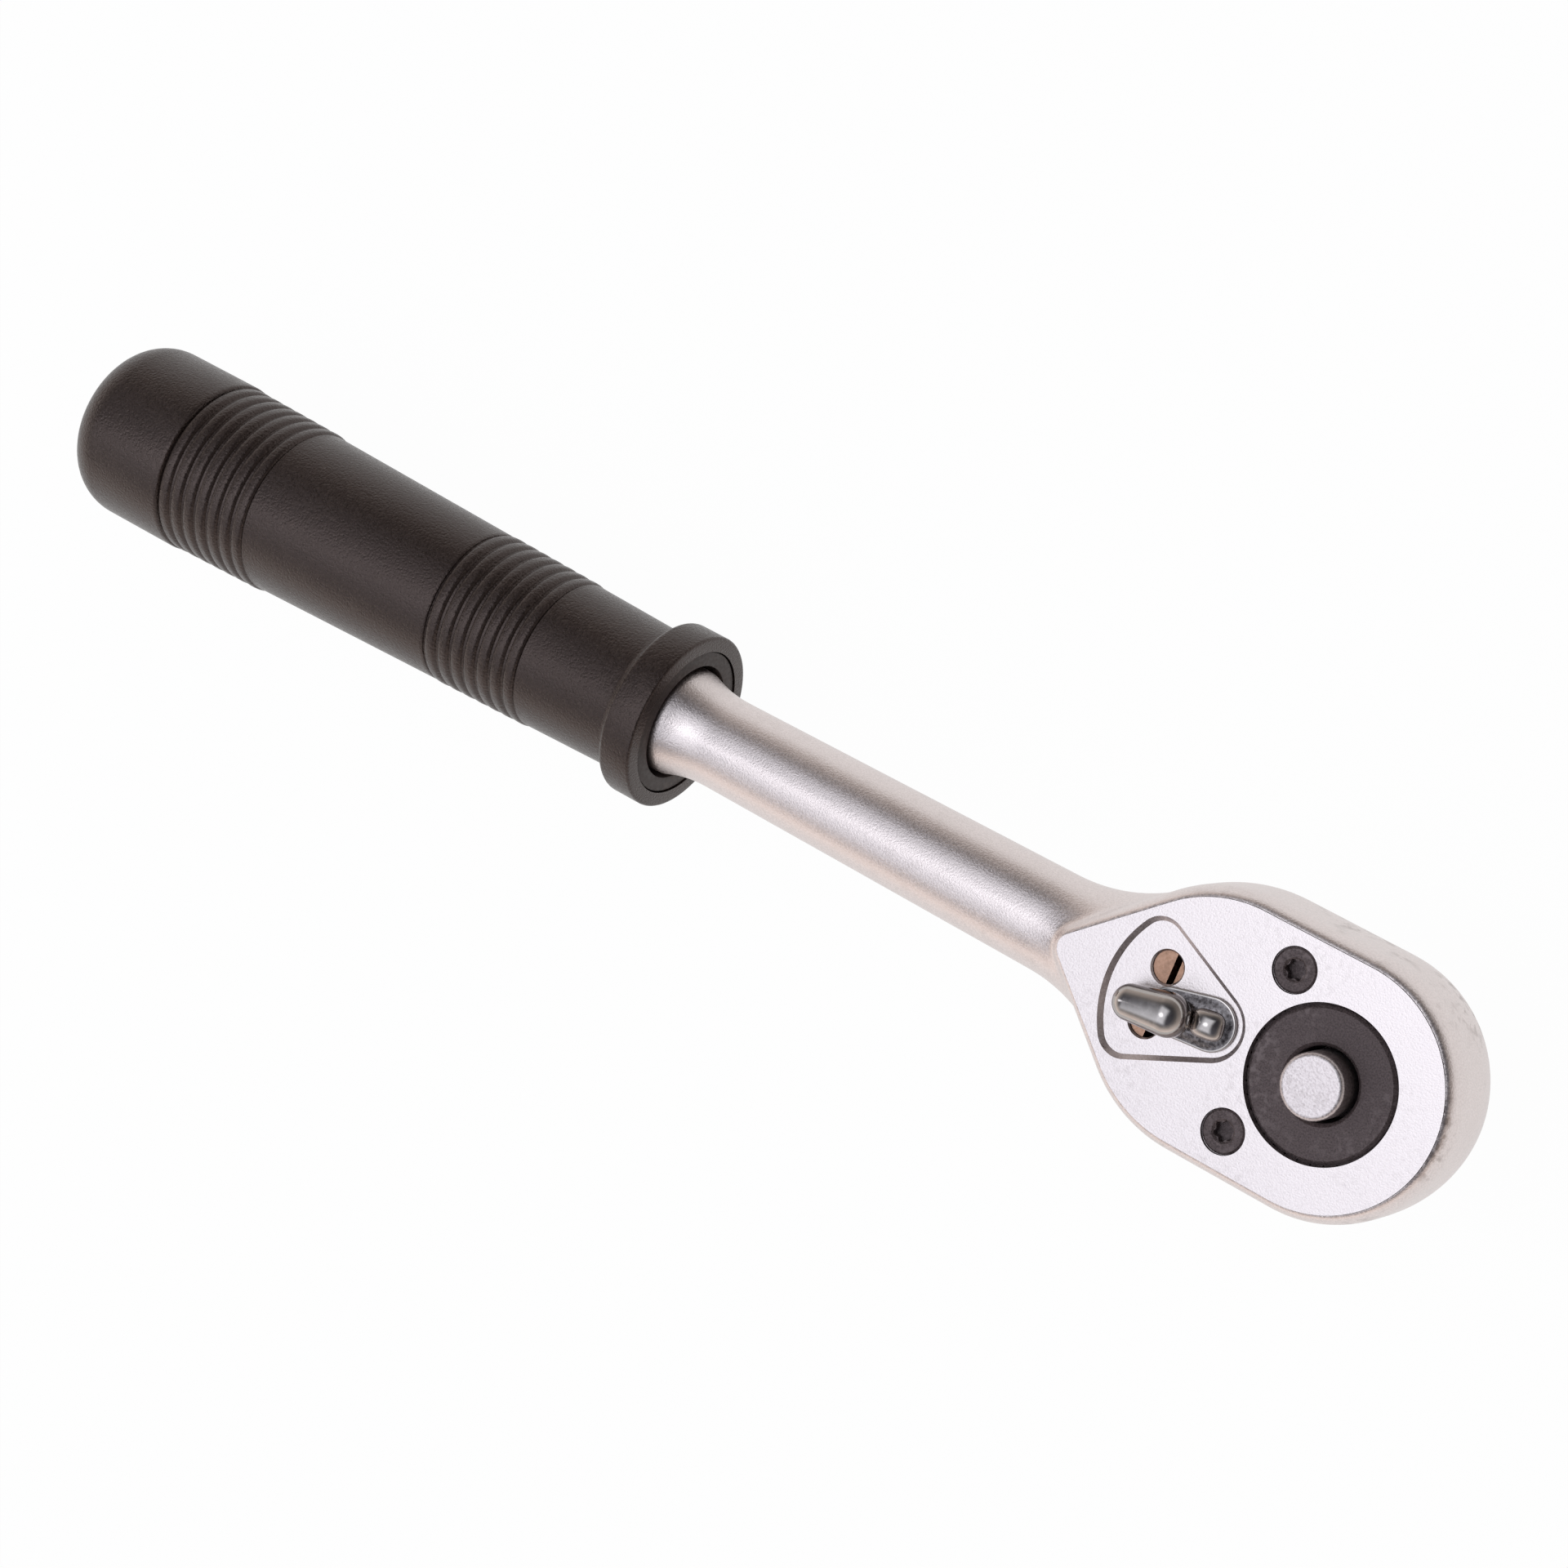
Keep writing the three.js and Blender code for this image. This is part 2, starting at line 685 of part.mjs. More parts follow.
function sealRing() {
  const centre = journalRadius - sealGrooveDepth + sealClearance + sealSection / 2;
  const section = arc(centre, sealHeight, sealSection / 2, 0, Math.PI * 2, sealSides);
  return closedGeometry(lathe(section, roundSides).rotateX(Math.PI / 2));
}

// Button and pin. The ramp under the ball lets it sink as the pin goes down.
function releaseButton() {
  const top = hubTop + buttonStand;
  const skirtBottom = hubTop - buttonSkirt;
  const rampEnd = ballHeight + buttonTravel;
  const neckRadius = rampRadius - ballRetreatShare * buttonTravel;
  const neckEnd = rampEnd + ballHoleRadius;
  return turnedOnZ([
    [0, pinEnd],
    [pinRadius, pinEnd],
    [pinRadius, rampStart],
    [neckRadius, rampEnd],
    [neckRadius, neckEnd],
    [pinRadius, neckEnd + pinRadius - neckRadius],
    [pinRadius, skirtBottom],
    [buttonRadius, skirtBottom],
    ...arc(buttonRadius - buttonTopRound, top - buttonTopRound, buttonTopRound, 0, Math.PI / 2, roundSteps),
    [0, top],
  ], shankSides);
}

function releaseSpring() {
  const height = hubTop - buttonSkirt - buttonWellFloor - 2 * springGap;
  const spring = coil(releaseSpringRadius, releaseSpringWire, height, releaseSpringTurns);
  return spring.translate(0, 0, buttonWellFloor + springGap);
}

function socketBall() {
  const ball = new THREE.SphereGeometry(ballRadius, smallSides, ballRings);
  return closedGeometry(ball).translate(0, ballCentre, ballHeight);
}

// Lever, shaft and pawl are drawn about the pivot with the knob straight back, then turned by the throw.

function aboutPivot(geometry) {
  return geometry.rotateZ(leverThrow).translate(leverX, 0, 0);
}

function reverseLever() {
  const taper = Math.asin((tabRadius - tabEndHalfWidth) / tabReach);
  const side = Math.PI / 2 + taper;
  const tab = solid(prism(outline([
    [0, 0, tabRadius, -side, side],
    [-tabReach, 0, tabEndHalfWidth, side, Math.PI * 2 - side],
  ]), tabBottom, tabTop));
  const lean = Math.asin((knobStartRadius - knobEndRadius) / (knobEnd - knobStart));
  const pill = lathe([
    ...arc(0, -knobEnd, knobEndRadius, -Math.PI / 2, -lean, knobRings),
    ...arc(0, -knobStart, knobStartRadius, -lean, Math.PI / 2, knobRings),
  ], smallSides);
  const knob = solid(pill.rotateZ(-Math.PI / 2).translate(0, 0, tabTop + knobRise));
  const tenonHole = solid(prism(
    roundedRectangle(tenonLength + runningClearance, tenonWidth + runningClearance, tenonCornerRadius),
    tabBottom - overcut, tabTop + peenHeight,
  ));
  const floorTrim = discOnZ(2 * knobEnd, tabBottom - knobStartRadius, tabBottom, smallSides);
  return aboutPivot(meshGeometry(cutBy(joined(tab, knob), tenonHole, floorTrim)));
}

function selectorShaft() {
  const footBottom = shaftFootBottom + runningClearance;
  const foot = discOnZ(shaftKeyAcross / 2, footBottom, gearBottom + shaftRadius, smallSides);
  const keyRound = discOnZ(shaftRadius, gearBottom, plateSeat, smallSides);
  const keyFlats = solid(prism(
    roundedRectangle(shaftKeyAcross, 4 * shaftRadius, keyCornerRadius), footBottom, plateSeat,
  ));
  const collarBottom = plateSeat - runningClearance / 2;
  const collar = discOnZ(shaftRadius, collarBottom, tabBottom, smallSides);
  const tenon = solid(prism(
    roundedRectangle(tenonLength, tenonWidth, tenonCornerRadius), recessFloor, tabTop + runningClearance,
  ));
  const peenLength = tenonLength + 2 * peenOverhang;
  const peenWidth = tenonWidth + 2 * peenOverhang;
  const peenLevels = [0, 0.35, 0.7, 0.9, 1];
  const peen = solid(loft(peenLevels.map((share) => {
    const shrink = Math.sqrt(1 - (share * peenDomeShare) ** 2);
    const corner = Math.min(peenLength, peenWidth) * shrink * peenCornerShare;
    const points = roundedRectangle(peenLength * shrink, peenWidth * shrink, corner);
    return { points, level: tabTop + peenHeight * share };
  })));
  return aboutPivot(meshGeometry(joined(foot, keyRound.intersect(keyFlats), collar, tenon, peen)));
}

// The gear itself, swung about the pivot through the throw, cuts the pawl's teeth and its room to move.
function pawl() {
  const half = [
    [-pawlRidge, 0],
    [-pawlHeel, -pawlBackHalfWidth],
    [-pawlWingBack, -pawlWingHalfWidth],
    [pawlWingFront, -pawlWingHalfWidth],
  ];
  const otherHalf = half.slice(1).reverse().map(([x, y]) => [x, -y]);
  const blankOutline = [...half, ...otherHalf].map(([x, y]) => new THREE.Vector2(x, y));
  const below = gearBottom - overcut;
  const above = gearTop + overcut;
  const blank = solid(prism(blankOutline, gearBottom, gearTop));
  const keyRound = discOnZ(shaftRadius + runningClearance, below, above, smallSides);
  const keyFlats = solid(prism(
    roundedRectangle(shaftKeyAcross + 2 * runningClearance, 4 * shaftRadius, keyCornerRadius), below, above,
  ));
  const steps = Array.from({ length: pawlCutSteps }, (_, i) => i / (pawlCutSteps - 1));
  const cutters = [1, -1].flatMap((side) => [
    ...steps.map((share) => {
      const turn = leverThrow - toothedSwing * share;
      const toothed = prism(gearOutline(pawlGearClearance), below, above);
      return solid(toothed.translate(leverSetback, 0, 0).rotateZ(-side * turn));
    }),
    ...steps.map((share) => {
      const turn = -side * (leverThrow - toothedSwing) * share;
      const x = leverSetback * Math.cos(turn);
      const y = leverSetback * Math.sin(turn);
      return discOnZ(gearTipRadius + 2 * pawlGearClearance, below, above, roundSides, x, y);
    }),
  ]);
  return aboutPivot(meshGeometry(cutBy(blank, keyRound.intersect(keyFlats), ...cutters)));
}

// Plunger and spring in the neck

function pawlPlunger() {
  return turnedOnX([
    [0, plungerBackX + plungerBoreDepth],
    [plungerBoreRadius, plungerBackX + plungerBoreDepth],
    [plungerBoreRadius, plungerBackX],
    [plungerRadius, plungerBackX],
    [plungerRadius, plungerFaceX - plungerChamfer],
    [plungerRadius - plungerChamfer, plungerFaceX],
    [0, plungerFaceX],
  ], smallSides);
}

function pawlSpring() {
  const spring = coil(pawlSpringRadius, pawlSpringWire, pawlSpringLength, pawlSpringTurns);
  const front = plungerBackX + plungerBoreDepth - springGap;
  return spring.rotateY(-Math.PI / 2).translate(front, 0, shankHeight);
}

// Grip. Distances along it run back from the flange's front face.

function alongGrip(distance) {
  return gripFrontX - distance;
}

function ribBand(start, end, startRadius, endRadius) {
  const pitch = (end - start) / ribsPerBand;
  return Array.from({ length: ribsPerBand }, (_, rib) => {
    const crest = start + pitch * (rib + 0.5);
    const radius = startRadius + (endRadius - startRadius) * (rib + 0.5) / ribsPerBand;
    const flat = pitch * ribFlatShare / 2;
    return [
      [radius - ribDepth, alongGrip(crest - pitch / 2)],
      [radius, alongGrip(crest - flat)],
      [radius, alongGrip(crest + flat)],
    ];
  }).flat().concat([[endRadius - ribDepth, alongGrip(end)]]);
}

function gripSleeve() {
  const roundStart = gripLength - buttCrown - buttRoundLength;
  const buttSteps = 5;
  const butt = Array.from({ length: buttSteps }, (_, i) => {
    const angle = Math.PI / 2 * (i + 1) / buttSteps;
    return [
      buttFlatRadius + (buttRadius - buttFlatRadius) * Math.cos(angle),
      alongGrip(roundStart + buttRoundLength * Math.sin(angle)),
    ];
  });
  const roundCentre = flangeRadius - flangeRound;
  const frontRound = arc(roundCentre, alongGrip(flangeRound), flangeRound, Math.PI / 2, 0, flangeSteps);
  const backRound = arc(
    roundCentre, alongGrip(flangeWidth - flangeRound), flangeRound, 0, -Math.PI / 2, flangeSteps,
  );
  const outside = [
    ...frontRound,
    ...backRound,
    [waistRadius, alongGrip(flangeWidth)],
    [waistRadius, alongGrip(flangeWidth + waistFlat)],
    [bandRadiusFront - ribDepth / 2, alongGrip(frontBandStart)],
    ...ribBand(frontBandStart, frontBandEnd, bandRadiusFront, midRadiusFront),
    [midRadiusFront, alongGrip(frontBandEnd)],
    [midRadiusBack, alongGrip(backBandStart)],
    ...ribBand(backBandStart, backBandEnd, bandRadiusBack, bandRadiusBack + ribDepth / 2),
    [buttRadius, alongGrip(backBandEnd)],
    [buttRadius, alongGrip(roundStart)],
    ...butt,
    [0, buttX],
  ];
  const inside = [
    [0, alongGrip(sleeveBoreDepth)],
    [coreRadius + gripClearance, alongGrip(sleeveBoreDepth)],
    [coreRadius + gripClearance, alongGrip(coreCollarBack)],
    [coreCollarRadius + gripClearance, alongGrip(coreCollarBack)],
    [coreCollarRadius + gripClearance, gripFrontX],
  ];
  return turnedOnX([...outside.reverse(), ...inside.reverse()], gripSides);
}

function gripCore() {
  const front = alongGrip(coreFaceDrop);
  const collarBack = alongGrip(coreCollarBack);
  const back = alongGrip(sleeveBoreDepth) + gripClearance;
  const mouthBack = alongGrip(coreMouthDepth);
  const boreBack = alongGrip(tangLength);
  return turnedOnX([
    [0, back],
    [coreRadius, back],
    [coreRadius, collarBack],
    [coreCollarRadius, collarBack],
    [coreCollarRadius, front],
    [coreMouthRadius, front],
    [coreMouthRadius, mouthBack],
    [tangRadius + gripClearance, mouthBack],
    [tangRadius + gripClearance, boreBack],
    [0, boreBack],
  ], gripSides);
}

// Finishes

const satinChrome = { color: 0xc9c4c6, roughness: 0.42, metalness: 1 };
const polishedChrome = { color: 0xd8d6d6, roughness: 0.12, metalness: 1 };
const blackOxide = { color: 0x3a3536, roughness: 0.6, metalness: 0.7 };
const bronzedSteel = { color: 0x9a7a68, roughness: 0.45, metalness: 1 };
const brightSteel = { color: 0xb4b4b6, roughness: 0.25, metalness: 1 };
const springSteel = { color: 0x8c8c90, roughness: 0.35, metalness: 1 };
const blackMoulding = { color: 0x2a2423, roughness: 0.62, metalness: 0 };
const blackRubber = { color: 0x1c1a1a, roughness: 0.8, metalness: 0 };

const ratchet = new THREE.Group();

function addPiece(name, shape, finish) {
  const geometry = shape instanceof THREE.BufferGeometry ? shape : meshGeometry(shape);
  geometry.computeVertexNormals();
  const mesh = new THREE.Mesh(geometry, new THREE.MeshStandardMaterial(finish));
  mesh.name = name;
  ratchet.add(mesh);
}

addPiece('ratchet_body', ratchetBody(), satinChrome);
addPiece('cover_plate', coverPlate(), satinChrome);
screwPlaces().forEach(([side, y]) => addPiece(`cover_screw_${side}`, coverScrew(y), blackOxide));
addPiece('drive_gear', driveGear(), blackOxide);
addPiece('drive_seal_ring', sealRing(), blackRubber);
addPiece('release_button', releaseButton(), satinChrome);
addPiece('release_spring', releaseSpring(), springSteel);
addPiece('socket_ball', socketBall(), brightSteel);
addPiece('reverse_lever', reverseLever(), polishedChrome);
addPiece('selector_shaft', selectorShaft(), polishedChrome);
addPiece('pawl', pawl(), bronzedSteel);
addPiece('pawl_plunger', pawlPlunger(), brightSteel);
addPiece('pawl_spring', pawlSpring(), springSteel);
addPiece('grip_core', gripCore(), blackMoulding);
addPiece('grip_sleeve', gripSleeve(), blackRubber);

export default ratchet;
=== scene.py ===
import math

import bmesh
import bpy
from mathutils import Matrix, Vector


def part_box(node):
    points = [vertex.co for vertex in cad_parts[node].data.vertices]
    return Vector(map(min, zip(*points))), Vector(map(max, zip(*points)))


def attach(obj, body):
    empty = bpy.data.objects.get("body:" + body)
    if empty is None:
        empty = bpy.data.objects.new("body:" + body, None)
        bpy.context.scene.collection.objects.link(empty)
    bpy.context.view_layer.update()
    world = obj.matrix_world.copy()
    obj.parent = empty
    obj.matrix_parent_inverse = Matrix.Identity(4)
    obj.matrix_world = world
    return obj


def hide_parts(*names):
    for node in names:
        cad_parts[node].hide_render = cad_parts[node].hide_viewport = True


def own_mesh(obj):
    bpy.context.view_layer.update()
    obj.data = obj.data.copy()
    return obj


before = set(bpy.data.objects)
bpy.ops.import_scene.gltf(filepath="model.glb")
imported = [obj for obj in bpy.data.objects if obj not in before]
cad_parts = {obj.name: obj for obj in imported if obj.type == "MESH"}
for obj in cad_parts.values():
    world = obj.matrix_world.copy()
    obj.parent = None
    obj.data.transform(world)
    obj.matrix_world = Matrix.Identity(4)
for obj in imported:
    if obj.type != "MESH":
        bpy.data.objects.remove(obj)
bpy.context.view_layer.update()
mm = 0.001
quarter = math.pi / 2
over = 1  # how far a cutter reaches past a face
print("frame loaded")


def clearSelection():
    if bpy.context.object and bpy.context.object.mode != "OBJECT":
        bpy.ops.object.mode_set(mode="OBJECT")
    bpy.ops.object.select_all(action="DESELECT")


def activate(piece):
    clearSelection()
    piece.select_set(True)
    bpy.context.view_layer.objects.active = piece


def editMesh(piece):
    activate(piece)
    bpy.ops.object.mode_set(mode="EDIT")
    bpy.ops.mesh.select_mode(type="FACE")


def leaveEdit():
    bpy.ops.object.mode_set(mode="OBJECT")


def newPoint(name, place):  # a plane merged to one corner, ready to extrude or spin
    clearSelection()
    bpy.ops.mesh.primitive_plane_add(size=mm, location=[c * mm for c in place])
    piece = bpy.context.object
    piece.name = name
    bpy.ops.object.transform_apply(location=True, rotation=True, scale=True)
    bpy.ops.object.mode_set(mode="EDIT")
    bpy.ops.mesh.select_mode(type="VERT")
    bpy.ops.mesh.select_all(action="SELECT")
    bpy.ops.mesh.merge(type="CENTER")
    return piece


def drawTo(here, there):
    step = [(b - a) * mm for a, b in zip(here, there)]
    bpy.ops.mesh.extrude_region_move(TRANSFORM_OT_translate={"value": step})


def closeMesh():
    bpy.ops.mesh.select_all(action="SELECT")
    bpy.ops.mesh.remove_doubles(threshold=1e-6)
    bpy.ops.mesh.select_all(action="SELECT")
    bpy.ops.mesh.normals_make_consistent(inside=False)


def pickFaces(piece, test):  # in edit mode, by centre (mm) and normal
    mesh = bmesh.from_edit_mesh(piece.data)
    for face in mesh.faces:
        face.select_set(test(face.calc_center_median() / mm, face.normal))
    mesh.select_flush_mode()
    bmesh.update_edit_mesh(piece.data)


def applied(piece, kind, **settings):
    activate(piece)
    modifier = piece.modifiers.new(kind.lower(), kind)
    for key, value in settings.items():
        setattr(modifier, key, value)
    bpy.ops.object.modifier_apply(modifier=modifier.name)
    return piece


def softEdges(piece, width, segments, angle):
    applied(
        piece, "BEVEL", width=width * mm, segments=segments, limit_method="ANGLE",
        angle_limit=math.radians(angle), use_clamp_overlap=True, miter_outer="MITER_ARC",
    )


def smoothShade(piece, angle, flats=False):
    activate(piece)
    bpy.ops.object.shade_smooth_by_angle(angle=math.radians(angle))
    if flats:  # large flat faces keep their own normal beside the rounded edges
        applied(piece, "WEIGHTED_NORMAL", keep_sharp=True, weight=100)


def combine(piece, other, how):
    applied(piece, "BOOLEAN", object=other, operation=how, solver="EXACT")
    activate(other)
    bpy.ops.object.delete()


def turned(name, profile, axis="Z", sides=96, height=0.0):  # profile of (radius, position along the axis)
    def place(point):
        radius, along = point
        return (radius, 0, along) if axis == "Z" else (along, 0, height + radius)
    piece = newPoint(name, place(profile[0]))
    for here, there in zip(profile, profile[1:]):
        drawTo(place(here), place(there))
    bpy.ops.mesh.select_all(action="SELECT")
    centre = (0, 0, 0) if axis == "Z" else (0, 0, height * mm)
    direction = (0, 0, 1) if axis == "Z" else (1, 0, 0)
    bpy.ops.mesh.spin(steps=sides, angle=2 * math.pi, center=centre, axis=direction)
    closeMesh()
    leaveEdit()
    return piece


def arcPoint(arc, angle):
    x, y, radius = arc[:3]
    return (x + radius * math.cos(angle), y + radius * math.sin(angle))


def roundedFace(name, arcs, level, step):  # counter-clockwise arcs joined by straight lines, filled; step in degrees
    piece = newPoint(name, (*arcPoint(arcs[0], arcs[0][3]), level))
    for arc, following in zip(arcs, arcs[1:] + arcs[:1]):
        turn = arc[4] - arc[3]
        steps = max(2, round(math.degrees(turn) / step))
        bpy.ops.mesh.spin(steps=steps, angle=-turn, center=(arc[0] * mm, arc[1] * mm, level * mm), axis=(0, 0, 1))
        drawTo((*arcPoint(arc, arc[4]), level), (*arcPoint(following, following[3]), level))
    bpy.ops.mesh.select_all(action="SELECT")
    bpy.ops.mesh.remove_doubles(threshold=1e-6)
    bpy.ops.mesh.select_all(action="SELECT")
    bpy.ops.mesh.edge_face_add()
    leaveEdit()
    return piece


def raised(piece, height):  # the flat face becomes a prism
    editMesh(piece)
    bpy.ops.mesh.select_all(action="SELECT")
    bpy.ops.mesh.extrude_region_move(TRANSFORM_OT_translate={"value": (0, 0, height * mm)})
    closeMesh()
    leaveEdit()
    return piece


def moved(piece, x=0.0, y=0.0, z=0.0, turn=0.0, about="Z"):
    activate(piece)
    piece.matrix_world = Matrix.Translation((x * mm, y * mm, z * mm)) @ Matrix.Rotation(turn, 4, about)
    bpy.ops.object.transform_apply(location=True, rotation=True, scale=True)
    return piece


def disc(name, radius, bottom, top, sides, x=0.0, y=0.0):
    return moved(turned(name, [(0, bottom), (radius, bottom), (radius, top), (0, top)], sides=sides), x, y)


def arcProfile(centreRadius, centreAlong, radius, start, end, count=8):
    angles = [start + (end - start) * i / count for i in range(count + 1)]
    return [(centreRadius + radius * math.cos(a), centreAlong + radius * math.sin(a)) for a in angles]


def cornerArcs(front, back, half, radius):  # rounded rectangle, from the centres of its corners
    centres = ((front, half), (back, half), (back, -half), (front, -half))
    return [(x, y, radius, i * quarter, (i + 1) * quarter) for i, (x, y) in enumerate(centres)]


# Shared heights above the end of the drive square, mm
levels = {
    "headBottom": 16.3, "cavityFloor": 19.5, "shank": 25.4, "plateSeat": 33.3, "recessFloor": 33.8,
    "tabBottom": 33.9, "hubTop": 34.3, "plateTop": 34.5, "tabTop": 35.1,
    "cutLow": 30, "cutHigh": 36,  # ends of the cutters that pass the plate
}
leverX = -17.8

# Head outline, shared by the forged body and the plate
headShape = {"nose": 17.65, "setback": 17.0, "shoulder": 19.5, "flank": math.radians(42), "tip": 2.2, "step": 1.5}


def headArcs(grow):
    s = headShape
    shoulderY = s["nose"] - s["shoulder"]
    along, across = -math.sin(s["flank"]), math.cos(s["flank"])
    flankOffset = -along * s["setback"] + across * shoulderY + s["shoulder"]
    tipX = (flankOffset - s["tip"]) / along
    right, bend = quarter, quarter + s["flank"]
    return [
        (0, 0, s["nose"] + grow, -right, right),
        (-s["setback"], shoulderY, s["shoulder"] + grow, right, bend),
        (tipX, 0, s["tip"] + grow, bend, 2 * math.pi - bend),
        (-s["setback"], -shoulderY, s["shoulder"] + grow, 2 * math.pi - bend, 3 * right),
    ]


# Forged body: barrel-walled head, hollow neck sweep, turned shank and tang
bodySet = {
    "bulge": 1.55, "edge": 0.15, "lowerRound": 2.2, "rimDrop": 0.1, "upperCurve": 7, "lowerCurve": 2, "belt": 0.3,
    "lowerLevels": (23.5, 21.5, 19.8, 18.5, 17.9, 17.4, 17.0, 16.7, 16.45), "leastInset": 1e-4,
    "neckSweep": 27.0, "shankFront": 7.55, "shankBack": 7.0, "flare": 8.5, "flareLength": 7.5,
    "gripFront": -115.4, "mouthDepth": 5.0, "slabPlace": (-90, 0, 25.35), "slabSize": (200, 80, 18.1),
    "voxel": 0.4, "blend": 12, "bedGap": 0.05, "bedHeight": 4, "gearWell": 12.55, "journalBore": (9.4, 14, 21),
    "pocketFront": -7.5, "pocketBack": -24.9, "pocketHalf": 8.27, "pocketCorner": 1.5, "pocketHeight": 16,
    "screw": (-9.842, 12.373), "screwHole": 2.12, "screwHoleFloor": 25.5,
    "tang": 6.6, "tangChamfer": 1.5, "tangFront": -119.9, "tangEnd": -205.3,
}


def wallGrow(level):
    b = bodySet
    half = (levels["plateTop"] - levels["headBottom"]) / 2
    middle = levels["shank"]
    into = max(0.0, b["lowerRound"] - (level - levels["headBottom"]))
    cut = b["lowerRound"] - math.sqrt(max(0.0, b["lowerRound"] ** 2 - into ** 2))
    power = b["upperCurve"] if level > middle else b["lowerCurve"]
    return b["edge"] + b["bulge"] * (1 - abs((level - middle) / half) ** power) - cut


def headBlank():
    b = bodySet
    middle, belt = levels["shank"], b["belt"]
    blank = raised(roundedFace("headBlank", headArcs(wallGrow(middle)), middle, headShape["step"]), belt)
    rimTop = levels["plateTop"] - b["rimDrop"]
    upper = [middle + belt + (rimTop - middle - belt) * math.sin(quarter * i / 12) for i in range(13)]
    lower = [middle, *b["lowerLevels"], levels["headBottom"]]
    for path, sign in ((upper, 1), (lower, -1)):
        editMesh(blank)
        pickFaces(blank, lambda centre, normal: normal.z * sign > 0.9)
        for here, there in zip(path, path[1:]):
            shrink = wallGrow(here) - wallGrow(there)
            bpy.ops.mesh.inset(thickness=max(shrink, b["leastInset"]) * mm, depth=abs(there - here) * mm)
        leaveEdit()
    return blank


def shankBlank():
    b = bodySet
    flank = headShape["flank"]
    tip = headArcs(b["edge"] + b["bulge"])[2]
    along, across = -math.sin(flank), math.cos(flank)
    flankOffset = along * tip[0] + tip[2]
    sweepRadial = b["shankFront"] + b["neckSweep"]
    sweepX = (flankOffset + b["neckSweep"] - across * sweepRadial) / along
    sweep = arcProfile(sweepRadial, sweepX, b["neckSweep"], math.pi, math.pi - flank, 16)
    rise = b["flare"] - b["shankBack"]
    flareRound = (b["flareLength"] ** 2 + rise ** 2) / (2 * rise)
    flareTurn = math.asin(b["flareLength"] / flareRound)
    flareStart = b["gripFront"] + b["flareLength"]
    flare = arcProfile(b["shankBack"] + flareRound, flareStart, flareRound, math.pi + flareTurn, math.pi)
    mouth = b["gripFront"] - b["mouthDepth"]
    endRadius, end = sweep[-1][0], sweep[-1][1] + over
    profile = [(0, mouth), (b["flare"], mouth), *flare, *sweep, (endRadius, end), (0, end)]
    shank = turned("shankBlank", profile, "X", 128, levels["shank"])
    clearSelection()
    bpy.ops.mesh.primitive_cube_add(size=1, location=[c * mm for c in b["slabPlace"]])
    slab = bpy.context.object
    slab.scale = [c * mm for c in b["slabSize"]]
    bpy.ops.object.transform_apply(location=True, rotation=True, scale=True)
    combine(shank, slab, "INTERSECT")  # flat above and below, level with the head
    return shank


def forgedBody():
    b = bodySet
    floor, high = levels["cavityFloor"], levels["cutHigh"]
    body = headBlank()
    combine(body, shankBlank(), "UNION")
    applied(body, "REMESH", mode="VOXEL", voxel_size=b["voxel"] * mm, adaptivity=0.0)
    applied(body, "SMOOTH", factor=0.5, iterations=b["blend"])
    bed = roundedFace("plateBed", headArcs(b["bedGap"]), levels["plateSeat"], headShape["step"])
    combine(body, raised(bed, b["bedHeight"]), "DIFFERENCE")
    combine(body, disc("gearWell", b["gearWell"], floor, high, 128), "DIFFERENCE")
    combine(body, disc("journalBore", *b["journalBore"], 128), "DIFFERENCE")
    pocketArcs = cornerArcs(b["pocketFront"], b["pocketBack"], b["pocketHalf"], b["pocketCorner"])
    combine(body, raised(roundedFace("pawlPocket", pocketArcs, floor, 9), b["pocketHeight"]), "DIFFERENCE")
    x, y = b["screw"]
    for side in (1, -1):
        hole = disc("screwHole", b["screwHole"], b["screwHoleFloor"], high, 48, x, side * y)
        combine(body, hole, "DIFFERENCE")
    radius, chamfer, end, front = b["tang"], b["tangChamfer"], b["tangEnd"], b["tangFront"]
    tangProfile = [(0, end), (radius - chamfer, end), (radius, end + chamfer), (radius, front), (0, front)]
    combine(body, turned("tang", tangProfile, "X", 48, levels["shank"]), "UNION")
    body.name = "forged_body"
    smoothShade(body, 40)
    return body


forged = forgedBody()
print("forged body", len(forged.data.polygons))

# Cover plate: let into the head, with the lever's recess, sight holes and countersinks
plateSet = {
    "hubHole": 11.2, "recessApex": 5.3, "recessCorner": (-28.957, 6.857, 3.8), "recessReach": 16.895,
    "recessSide": math.radians(25), "recessDepth": 0.7, "shaftHole": 2.7, "sightHole": 2.35, "sightRim": 0.25,
    "sightReach": 10.0, "sightAngle": math.radians(24.3), "sink": 3.32, "sinkFrom": 33.36, "sinkTo": 33.9,
    "edge": 0.16,
}


def recessCutter():
    p = plateSet
    side = quarter - p["recessSide"]
    x, y, radius = p["recessCorner"]
    corner = math.atan2(y, x - leverX)
    arcs = [
        (leverX, 0, p["recessApex"] + over, -side, side),
        (x, y, radius + over, side, corner),
        (leverX, 0, p["recessReach"] + over, corner, 2 * math.pi - corner),
        (x, -y, radius + over, 2 * math.pi - corner, 2 * math.pi - side),
    ]
    cutter = raised(roundedFace("recessCutter", arcs, levels["plateTop"] + over, 3), 2 * over)
    editMesh(cutter)
    pickFaces(cutter, lambda centre, normal: normal.z < -0.9)
    depth = over + p["recessDepth"]
    bpy.ops.mesh.inset(thickness=depth * mm, depth=depth * mm)
    leaveEdit()
    return cutter


def sightPlace():
    reach, angle = plateSet["sightReach"], plateSet["sightAngle"]
    return leverX - reach * math.cos(angle), reach * math.sin(angle)


